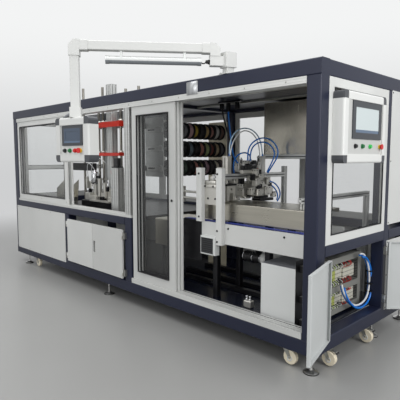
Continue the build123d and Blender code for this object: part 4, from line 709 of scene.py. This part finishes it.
# Cylinder details: two ground guide shafts beside each barrel in milled blocks, and a dark clamp plate.
# The shafts stand in line across the machine, one on each side of the barrel.
def swept(paths, size, sides=8):
    """Tubes along paths. Paths is copies by points by 3. Each point carries a circle of the given radius
    on two directions square to the path: centre + radius (cos a) side + radius (sin a) up."""
    paths = np.asarray(paths, dtype=float)
    paths = paths[None] if paths.ndim == 2 else paths
    along = unit(np.gradient(paths, axis=1))
    reference = np.where(np.abs(along[:, :1, 2:]) > 0.97, (1.0, 0.02, 0.0), (0.0, 0.02, 1.0))
    side = unit(np.cross(along, reference))
    up = np.cross(side, along)
    angle = np.arange(sides) * 2 * pi / sides
    ring = np.cos(angle)[:, None] * side[:, :, None] + np.sin(angle)[:, None] * up[:, :, None]
    tube = paths[:, :, None] + size * ring
    ends = (paths[:, 0], paths[:, -1])
    first, last = (np.broadcast_to(end[:, None, None], tube[:, :1].shape) for end in ends)
    return np.concatenate([first, tube, last], axis=1)


shaft_x, clamp_x, shaft_aside = -1.079, -1.034, 0.036
for k, y in enumerate((0.32, 0.77)):
    shafts = [np.linspace((shaft_x, y + aside, 1.12), (shaft_x, y + aside, 1.30), 3)
              for aside in (-shaft_aside, shaft_aside)]
    piece(f"guide_shafts_{k}", swept(shafts, 0.006, 12), polished)
    carriers = [(shaft_x, y - 0.055, z) for z in (1.16, 1.285)]
    bar_piece(f"shaft_blocks_{k}", carriers, (0, 0.11, 0), 0.03, 0.028, alloy)
    bar_piece(f"clamp_plate_{k}", [(clamp_x, y - 0.062, 1.158)], (0, 0.124, 0), 0.11, 0.016, dark)


# Air hoses and cables: polyurethane tube, bent in wide loops between push-in collars on the cylinders and
# the gripper heads, and the three cables that loop from duct to duct in the end cabinet. They stand in
# for the plainer routes of the CAD.
def flowing(points, count=10):
    """A smooth route that its points draw in: a uniform cubic B-spline with its end points tripled.
    Between points a b c d it is ((1-t)^3 a + (3t^3-6t^2+4) b + (3t+3t^2-3t^3+1) c + t^3 d) / 6."""
    points = np.asarray(points, dtype=float)
    points = np.concatenate([points[:1]] * 2 + [points] + [points[-1:]] * 2)
    t = np.linspace(0, 1, count, endpoint=False)[:, None, None]
    a, b, c, d = points[:-3], points[1:-2], points[2:-1], points[3:]
    run = (1 - t) ** 3 * a + (3 * t ** 3 - 6 * t ** 2 + 4) * b
    run = run + (3 * t + 3 * t ** 2 - 3 * t ** 3 + 1) * c + t ** 3 * d
    return np.concatenate([run.transpose(1, 0, 2).reshape(-1, 3) / 6, points[-1:]])


def upright(x, route):
    """A route in the upright plane at x, from its points across the machine."""
    return flowing([(x, y, z) for y, z in route])


tube_blue = powder_coat("tube_blue", linear(30, 116, 206), 0.25, 0.00002)
tube_clear = powder_coat("tube_clear", linear(176, 204, 224), 0.22, 0.00002)
tube_white = powder_coat("tube_white", linear(222, 224, 224), 0.3, 0.00002)
dress(tube_blue, "air_hoses")
big_loop = [(-1.03, 0.58, 1.36), (-1.015, 0.56, 1.45), (-1.0, 0.61, 1.515), (-0.98, 0.71, 1.555),
            (-0.955, 0.82, 1.535), (-0.935, 0.88, 1.46), (-0.92, 0.865, 1.39), (-0.935, 0.82, 1.327),
            (-0.97, 0.78, 1.24)]
inner_loop = [(-1.02, 0.597, 1.36), (-1.009, 0.595, 1.46), (-0.994, 0.67, 1.51), (-0.971, 0.775, 1.515),
              (-0.951, 0.845, 1.45), (-0.934, 0.835, 1.399), (-0.943, 0.80, 1.33), (-0.97, 0.77, 1.25)]
left_bow = [(-1.03, 0.403, 1.25), (-1.03, 0.39, 1.34), (-1.03, 0.44, 1.4), (-1.03, 0.53, 1.425),
            (-1.03, 0.615, 1.405), (-1.03, 0.613, 1.35)]
low_bow = [(-1.0, 0.789, 1.164), (-0.992, 0.88, 1.17), (-0.985, 0.975, 1.11), (-0.978, 0.995, 1.03),
           (-0.97, 0.93, 0.985)]
inner_bow = [(-1.0, 0.789, 1.15), (-0.992, 0.86, 1.14), (-0.985, 0.93, 1.09), (-0.978, 0.955, 1.03),
             (-0.97, 0.92, 1.0)]
for k, route in enumerate((big_loop, inner_loop, left_bow, low_bow, inner_bow)):
    piece(f"air_hose_{k}", swept(flowing(route), 0.0062, 10), (tube_blue, "blue_belt"))
high_bow = [(0.352, 1.395), (0.345, 1.5), (0.42, 1.6), (0.543, 1.632), (0.67, 1.61), (0.765, 1.53),
            (0.786, 1.395)]
short_bow = [(0.344, 1.395), (0.36, 1.49), (0.44, 1.575), (0.52, 1.61), (0.63, 1.59), (0.715, 1.51),
             (0.734, 1.37)]
piece("clear_hose", swept(upright(-1.034, high_bow), 0.0056, 10), (tube_clear, "blue_belt"))
piece("white_hose", swept(upright(-1.02, short_bow), 0.005, 10), (tube_white, "clear_glazing"))
cable_loop = np.array([(0.80, 0.632), (0.86, 0.628), (0.935, 0.55), (0.968, 0.45), (0.972, 0.34),
                       (0.935, 0.262), (0.84, 0.236), (0.74, 0.245), (0.66, 0.29), (0.59, 0.35),
                       (0.545, 0.41), (0.53, 0.45)])
cables = ((-0.088, 0.0, 0.008, tube_blue), (-0.106, -0.014, 0.008, tube_blue),
          (-0.094, -0.027, 0.007, tube_white))
loop_cables = [piece(f"loop_cable_{k}", swept(upright(x, cable_loop + (inset, abs(inset))), thick, 12),
                     (tone, "blue_belt"))
               for k, (x, inset, thick, tone) in enumerate(cables)]
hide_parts("air_hoses")
bar_piece("bundle_ties", [(-0.118, 0.955, z) for z in (0.50, 0.40, 0.34)], (0.046, 0, 0), 0.062, 0.008, black)
collar = [(0, 0), (8.5, 0), (8.5, 9), (6.6, 11), (6.6, 20), (7.2, 21), (7.2, 25), (0, 26)]
collar_places = [(-1.034, 0.352, 1.385), (-1.034, 0.786, 1.385), (-1.03, 0.58, 1.35), (-1.02, 0.6, 1.35)]
piece("push_in_collars", turned(collar_places, (0, 0, 1), collar, 14), (tube_blue, "blue_belt"))
bar_piece("valve_block", [(-0.948, 0.40, 1.262)], (0, 0.22, 0), 0.034, 0.03, alloy)
bar_piece("valve_caps", [(-0.948, 0.42 + 0.032 * k, 1.277) for k in range(6)], (0, 0, 0.038), 0.022, 0.026,
          black, up=(0, 1, 0), round_off=0.2)

# Hoses from the roof: a steel bracket under the left end of the right bay's sheets carries three small
# valves, from which a blue and a black hose drop beside the rack to the gripper heads.
bracket_starts = [(-1.53, 0.75, 1.8924), (-1.49, 0.75, 1.88), (-1.41, 0.75, 1.88), (-1.3, 0.75, 1.88)]
bracket_reach = [(0.28, 0, 0), (0, 0, -0.05), (0, 0, -0.08), (0, 0, -0.06)]
bar_piece("roof_bracket", bracket_starts, bracket_reach, [0.03, 0.04, 0.036, 0.036],
          [0.012, 0.03, 0.03, 0.03], dark, up=[(0, 0, 1)] + [(1, 0, 0)] * 3)
drops = [[(-1.41, 0.75, 1.81), (-1.4, 0.75, 1.7), (-1.375, 0.75, 1.55), (-1.34, 0.74, 1.38),
          (-1.22, 0.7, 1.3), (-1.06, 0.66, 1.26)],
         [(-1.49, 0.75, 1.84), (-1.47, 0.75, 1.74), (-1.4, 0.75, 1.58), (-1.36, 0.73, 1.4),
          (-1.25, 0.68, 1.28), (-1.06, 0.64, 1.22)]]
for k, (route, tone) in enumerate(zip(drops, (tube_blue, dull_black))):
    piece(f"roof_hose_{k}", swept(flowing(route), 0.0075, 10), (tone, "black_plastic"))

# Skirt under the belt's left end: a pale box of bent sheet, whose grain runs upright, that closes in the
# conveyor's end.
skirt = metal("skirt_sheet", linear(190, 184, 168), 0.4, (1, 1, 0.04), metallic=0.35)
bar_piece("belt_skirt", [(-1.95, 0.52, 0.672)], (0.563, 0, 0), 0.44, 0.25, (skirt, "stainless_steel"),
          round_off=0.02)

# Left station heads: small milled slides, plates and cylinders bolted along the station's dark base. The
# rows are like those of the gripper heads.
station_milled = np.array([
    (-3400, 420, 1080, 30, 30, 140), (-3330, 400, 920, 100, 60, 80), (-3250, 450, 980, 60, 50, 180),
    (-3200, 400, 900, 120, 80, 60), (-3120, 420, 1030, 40, 40, 220), (-3050, 440, 920, 80, 60, 100),
    (-2980, 400, 1000, 30, 30, 180), (-2930, 460, 950, 100, 80, 120), (-2860, 400, 900, 60, 60, 60),
    (-3300, 500, 1060, 220, 20, 20), (-3080, 500, 1120, 240, 20, 20), (-3020, 360, 880, 400, 50, 20),
]) / 1000
station_dark = np.array([
    (-3360, 440, 980, 30, 50, 50), (-3160, 460, 950, 50, 50, 50), (-3000, 380, 910, 60, 50, 40),
    (-2900, 380, 1020, 30, 30, 50), (-3120, 400, 1150, 50, 30, 30), (-3100, 440, 835, 700, 160, 70),
]) / 1000
piece("station_blocks", blocks(station_milled), alloy, smooth=False)
piece("station_dark_blocks", blocks(station_dark), dark, smooth=False)
bar_cylinder = [(0, 0), (14, 0), (14, 70), (10, 74), (5, 74), (5, 110), (0, 110)]
cylinder_places = [(-3.29, 0.43, 0.96), (-3.16, 0.43, 0.93), (-2.96, 0.43, 1.01), (-2.88, 0.43, 0.93)]
piece("station_cylinders", turned(cylinder_places, (0, 0, 1), bar_cylinder, 16), polished)

# Spindle clamps: pale moulded arms on the rack's front plate, one for each row of reels, each ending in a
# round eye on the spindle. A thin dark strip along each arm's face stands for its slot: painted shade.
clamp_levels = (1.278, 1.457, 1.63)
bar_piece("spindle_arms", [(-1.955, 0.2135, z) for z in clamp_levels], (0.19, 0, 0), 0.009, 0.042, painted)
eye = [(11, 0), (30, 0), (30, 12), (26, 15), (16, 15), (11, 12)]
piece("spindle_eyes", turned([(-1.75, 0.218, z) for z in clamp_levels], (0, -1, 0), eye, 24), painted, closed)
# The dark strips are painted shade in the arms' slots.
bar_piece("arm_slot_shade", [(-1.93, 0.2088, z) for z in clamp_levels], (0.1, 0, 0), 0.002, 0.013, dark)

# Slide head in front of the gantry: three milled plates, each smaller than the one below, with bolted
# clamps on the two bright uprights.
heads = [((-1.19, 0.19, 1.148), 0.21, 0.05, 0.028), ((-1.15, 0.19, 1.178), 0.13, 0.04, 0.032),
         ((-1.085, 0.19, 1.21), 0.04, 0.036, 0.036)]
for k, (start, length, wide, high) in enumerate(heads):
    bar_piece(f"slide_head_{k}", [start], (length, 0, 0), wide, high, alloy, smooth=True, round_off=0.14)
head_bolts = [(x, 0.165, 1.148) for x in (-1.17, -1.13, -1.04, -1.0)]
head_bolts += [(x, 0.168, 1.05) for x in (-1.10, -1.02)]
piece("slide_bolts", turned(head_bolts, (0, -1, 0), bolt, 6), dark, smooth=False)


# End cabinet wiring: stranded wires in coloured jackets, looped from the terminal blocks into the slotted
# ducts above and below, in the even fan that a wireman leaves.
def arcs(starts, ends, bulge, count=13):
    """Paths that swing out between two points: start + (end - start) t + 4 t (1 - t) bulge."""
    t = np.linspace(0, 1, count)[None, :, None]
    starts, ends, bulge = (np.asarray(v, dtype=float).reshape(-1, 1, 3) for v in (starts, ends, bulge))
    return starts + (ends - starts) * t + 4 * t * (1 - t) * bulge


terminal_x, terminal_and_duct = -0.166, ((0.563, 0.612), (0.485, 0.442), (0.383, 0.402), (0.303, 0.282))
wires = {"white_wires": ((222, 222, 218), (0.30, 0.60, 11), 0.0021),
         "black_wires": ((30, 30, 32), (0.29, 0.56, 9), 0.0021),
         "red_wires": ((176, 40, 34), (0.64, 0.74, 4), 0.0028),
         "green_wires": ((150, 176, 60), (0.46, 0.53, 3), 0.0021)}
for name, (tone, (first, last, count), thick) in wires.items():
    jacket = powder_coat(name, linear(*tone), 0.4, 0.00002)
    starts, ends, swell = [], [], []
    for terminal_z, duct_z in terminal_and_duct:
        for k, y in enumerate(np.linspace(first, last, count)):
            starts.append((terminal_x, y, terminal_z))
            ends.append((terminal_x - 0.008, y + 0.006 * (-1) ** k, duct_z))
            swell.append((0.022 + 0.005 * (k % 3), 0.006 * (k % 4) - 0.006, 0))
    piece(name, swept(arcs(starts, ends, swell, 9), thick, 6), (jacket, "black_plastic"))

# Arm wiring: a black moulded gland on the arm's joint box, and one jacketed cable that leaves it and
# bows down to the tube.
gland_level = (0, 0, 2.056)
gland = [(0, 0), (17, 0), (17, 12), (13, 14), (13, 26), (9, 30), (0, 30)]
piece("arm_gland", turned([column + along_arm * 0.135 + gland_level], along_arm, gland), black, body="arm")
lead_ends = [column + along_arm * place + gland_level for place in (0.16, 0.2)]
piece("lamp_lead", swept(arcs(*lead_ends, (0, 0, -0.012), 9), 0.0045), black, body="arm")

# Pendant hose: grey corrugated conduit that bows from the box's left side up to the coupling of the drop
# tube. Its rings are a wave in the radius along the path.
conduit = powder_coat("grey_conduit", linear(124, 126, 130), 0.5, 0.00004)
pendant_x = np.array([cos(turn), sin(turn), 0])
pendant_y = np.array([-sin(turn), cos(turn), 0])
low_end = pendant - pendant_x * 0.178 + pendant_y * 0.02 + (0, 0, -0.02)
high_end = pendant - pendant_x * 0.04 + pendant_y * 0.02 + (0, 0, 0.19)
path = arcs([low_end], [high_end], [-pendant_x * 0.075 + (0, 0, 0.05)], 90)
hose = swept(path, 0.0095, 10)
wave_depth, wave_count = 0.12, 30
wave = 1 + wave_depth * np.sin(np.linspace(0, wave_count * 2 * pi, path.shape[1]))
core = path[:, :, None]
hose[:, 1:-1] = core + (hose[:, 1:-1] - core) * wave[None, :, None, None]
piece("pendant_conduit", hose, (conduit, "grey_plastic"), body="pendant")

# Left station fittings: milled clamp collars on the guide rods, a bright air tank on its bracket, a red
# block, white hoses from the heads to them, and a bolted carriage on the right.
rod_places = (-3.244, -3.155, -3.06, -2.793)
rod_collar = [(15.2, 0), (26, 0), (26, 22), (15.2, 22)]
collar_places = [(x, 0.5, z) for z in (1.43, 1.78, 0.80) for x in rod_places]
piece("rod_collars", turned(collar_places, (0, 0, 1), rod_collar, 18), alloy, closed)
tank = [(0, 0), (30, 4), (45, 20), (45, 136), (30, 152), (12, 156), (12, 170), (0, 170)]
piece("air_tank", turned([(-3.212, 0.41, 1.06)], (0, 0, 1), tank, 22), polished)
bar_piece("tank_bracket", [(-3.244, 0.5, z) for z in (1.09, 1.19)], (0.03, -0.048, 0), 0.012, 0.03, alloy,
          smooth=True)
bar_piece("red_block", [(-2.90, 0.445, 1.21)], (0.08, 0, 0), 0.04, 0.05, (red, "red_paint"), smooth=True)
station_hose = powder_coat("station_hose", linear(216, 218, 218), 0.35, 0.00002)
starts = [(-3.40, 0.44, 1.09), (-3.37, 0.46, 1.09), (-3.43, 0.5, 1.09)]
ends = [(-3.212, 0.41, 1.228), (-3.03, 0.46, 1.30), (-3.28, 0.5, 1.396)]
swell = [(0, -0.05, 0.14), (0, -0.06, 0.16), (-0.06, 0, 0.02)]
piece("station_hoses", swept(arcs(starts, ends, swell, 21), 0.004), (station_hose, "clear_glazing"))
bar_piece("carriage", [(-2.66, 0.452, 1.106)], (0.14, 0, 0), 0.03, 0.20, alloy, smooth=True)
carriage_bolts = [(x, 0.437, z) for x in (-2.64, -2.54) for z in (1.03, 1.18)]
piece("carriage_bolts", turned(carriage_bolts, (0, -1, 0), bolt, 6), dark, smooth=False)

# Caster details: black moulded brake tips on the pedals, which turn with the fork, a pale hub on each
# side of the wheel, and an axle nut on each side of the fork.
hub = [(0, 0), (12, 0), (12, 3), (20, 4), (20, 1), (36, 0.5), (36, -2)]
trail, pedal_reach = 0.035, 0.092
for k, (x, y) in enumerate(((-0.24, 0.05), (-0.05, 0.215), (-0.05, 0.75), (-4.02, 0.05)), 1):
    bar_piece(f"brake_tip_{k}", [(x + pedal_reach, y - 0.016, 0.107)], (0, 0.032, 0), 0.012, 0.012, black,
              smooth=True, body=f"caster_{k}_fork", round_off=0.3)
    for side, word in ((-1, "near"), (1, "far")):
        face, nut = (x + trail, y + side * 0.0145, 0.05), (x + trail, y + side * 0.0203, 0.058)
        piece(f"wheel_hub_{k}_{word}", turned([face], (0, side, 0), hub, 24), painted,
              body=f"caster_{k}_wheel")
        piece(f"axle_nut_{k}_{word}", turned([nut], (0, side, 0), bolt, 6), plated, body=f"caster_{k}_fork",
              smooth=False)


# Stage: a round sheet of pale paper on the floor, whose rim bends up into a wall all round. Rays that
# light the machine pass through the wall, and what is seen directly, mirrored or through glass is paper.
def paper_bowl(flat, bend, high, sides=96):
    """A floor of the given radius, then a quarter circle, then an upright wall. At angle t of the bend
    the rim is at radius flat + bend sin t and level bend - bend cos t."""
    t = np.linspace(0, pi / 2, 11)
    radius = np.concatenate([[0.0, flat / 2], flat + bend * np.sin(t), [flat + bend]])
    level = np.concatenate([[0.0, 0.0], bend - bend * np.cos(t), [high]])
    angle = np.arange(sides) * 2 * pi / sides
    points = np.stack([radius[:, None] * np.cos(angle), radius[:, None] * np.sin(angle),
                       np.broadcast_to(level[:, None], (len(level), sides))], axis=-1)
    return grid_object("studio_paper", points[None], (False, True), True)


paper = Finish("studio_paper")
across, depth, height = paper.seen_from()
reach_squared = across * across + depth * depth
reach = reach_squared.math("SQRT", reach_squared)
fade = {"interpolation_type": "SMOOTHSTEP"}
wall_share = paper.node("ShaderNodeMapRange", fade, {"Value": reach, "From Min": 3.6, "From Max": 8.0})
upper = paper.node("ShaderNodeMapRange", fade, {"Value": height, "From Min": 0.0, "From Max": 8.0})
seen = 0
for ray in ("Is Camera Ray", "Is Glossy Ray", "Is Transmission Ray"):
    seen = paper.node("ShaderNodeLightPath", output=ray) + seen
unseen = seen < 0.5
# The wall glows in a grade from grey at its foot to near white high up: painted light.
backdrop = paper.mix(upper, linear(206, 207, 208), linear(243, 244, 244))
wall = paper.node("ShaderNodeEmission", {}, {"Color": backdrop, "Strength": 1.0})
clear = paper.node("ShaderNodeBsdfTransparent")
wall = paper.node("ShaderNodeMixShader", {}, {0: unseen, 1: wall, 2: clear})
mottle = paper.mix(paper.noise(0.7, 3.0), linear(138, 138, 136), linear(147, 147, 145))
ground = paper.node("ShaderNodeBsdfPrincipled", {}, {"Base Color": mottle, "Roughness": 0.34})
both = paper.node("ShaderNodeMixShader", {}, {0: wall_share, 1: ground, 2: wall})
paper.node("ShaderNodeOutputMaterial", {}, {"Surface": both})
bowl = paper_bowl(17.0, 2.0, 14.0)
bowl.data.materials.append(paper.material)

# Light: an even pale sky, a wide lamp overhead, and two soft lamps at the right end and in front. All
# three lamps are square areas that face a point of the machine.
world = bpy.data.worlds.new("studio")
bpy.context.scene.world = world
world.use_nodes = True
sky = world.node_tree.nodes["Background"]
sky.inputs["Color"].default_value = (*linear(232, 233, 236), 1)
sky.inputs["Strength"].default_value = 0.75


def area_lamp(name, place, look_at, size, power):
    """A square area lamp that faces a point."""
    data = bpy.data.lights.new(name, "AREA")
    data.size = size
    data.energy = power
    made = bpy.data.objects.new(name, data)
    made.location = place
    aim = np.array(look_at) - np.array(place)
    level_reach = np.hypot(aim[0], aim[1])
    made.rotation_euler = (pi / 2 + np.arctan2(aim[2], level_reach), 0, np.arctan2(aim[1], aim[0]) - pi / 2)
    bpy.context.scene.collection.objects.link(made)


area_lamp("ceiling_lamp", (0.0, -0.5, 5.5), (0, 0, 0), 6.0, 260)
area_lamp("right_lamp", (7.0, -1.0, 3.2), (2, 0, 1), 3.5, 220)
area_lamp("front_lamp", (1.0, -7.0, 3.0), (0, 0, 1), 4.0, 110)
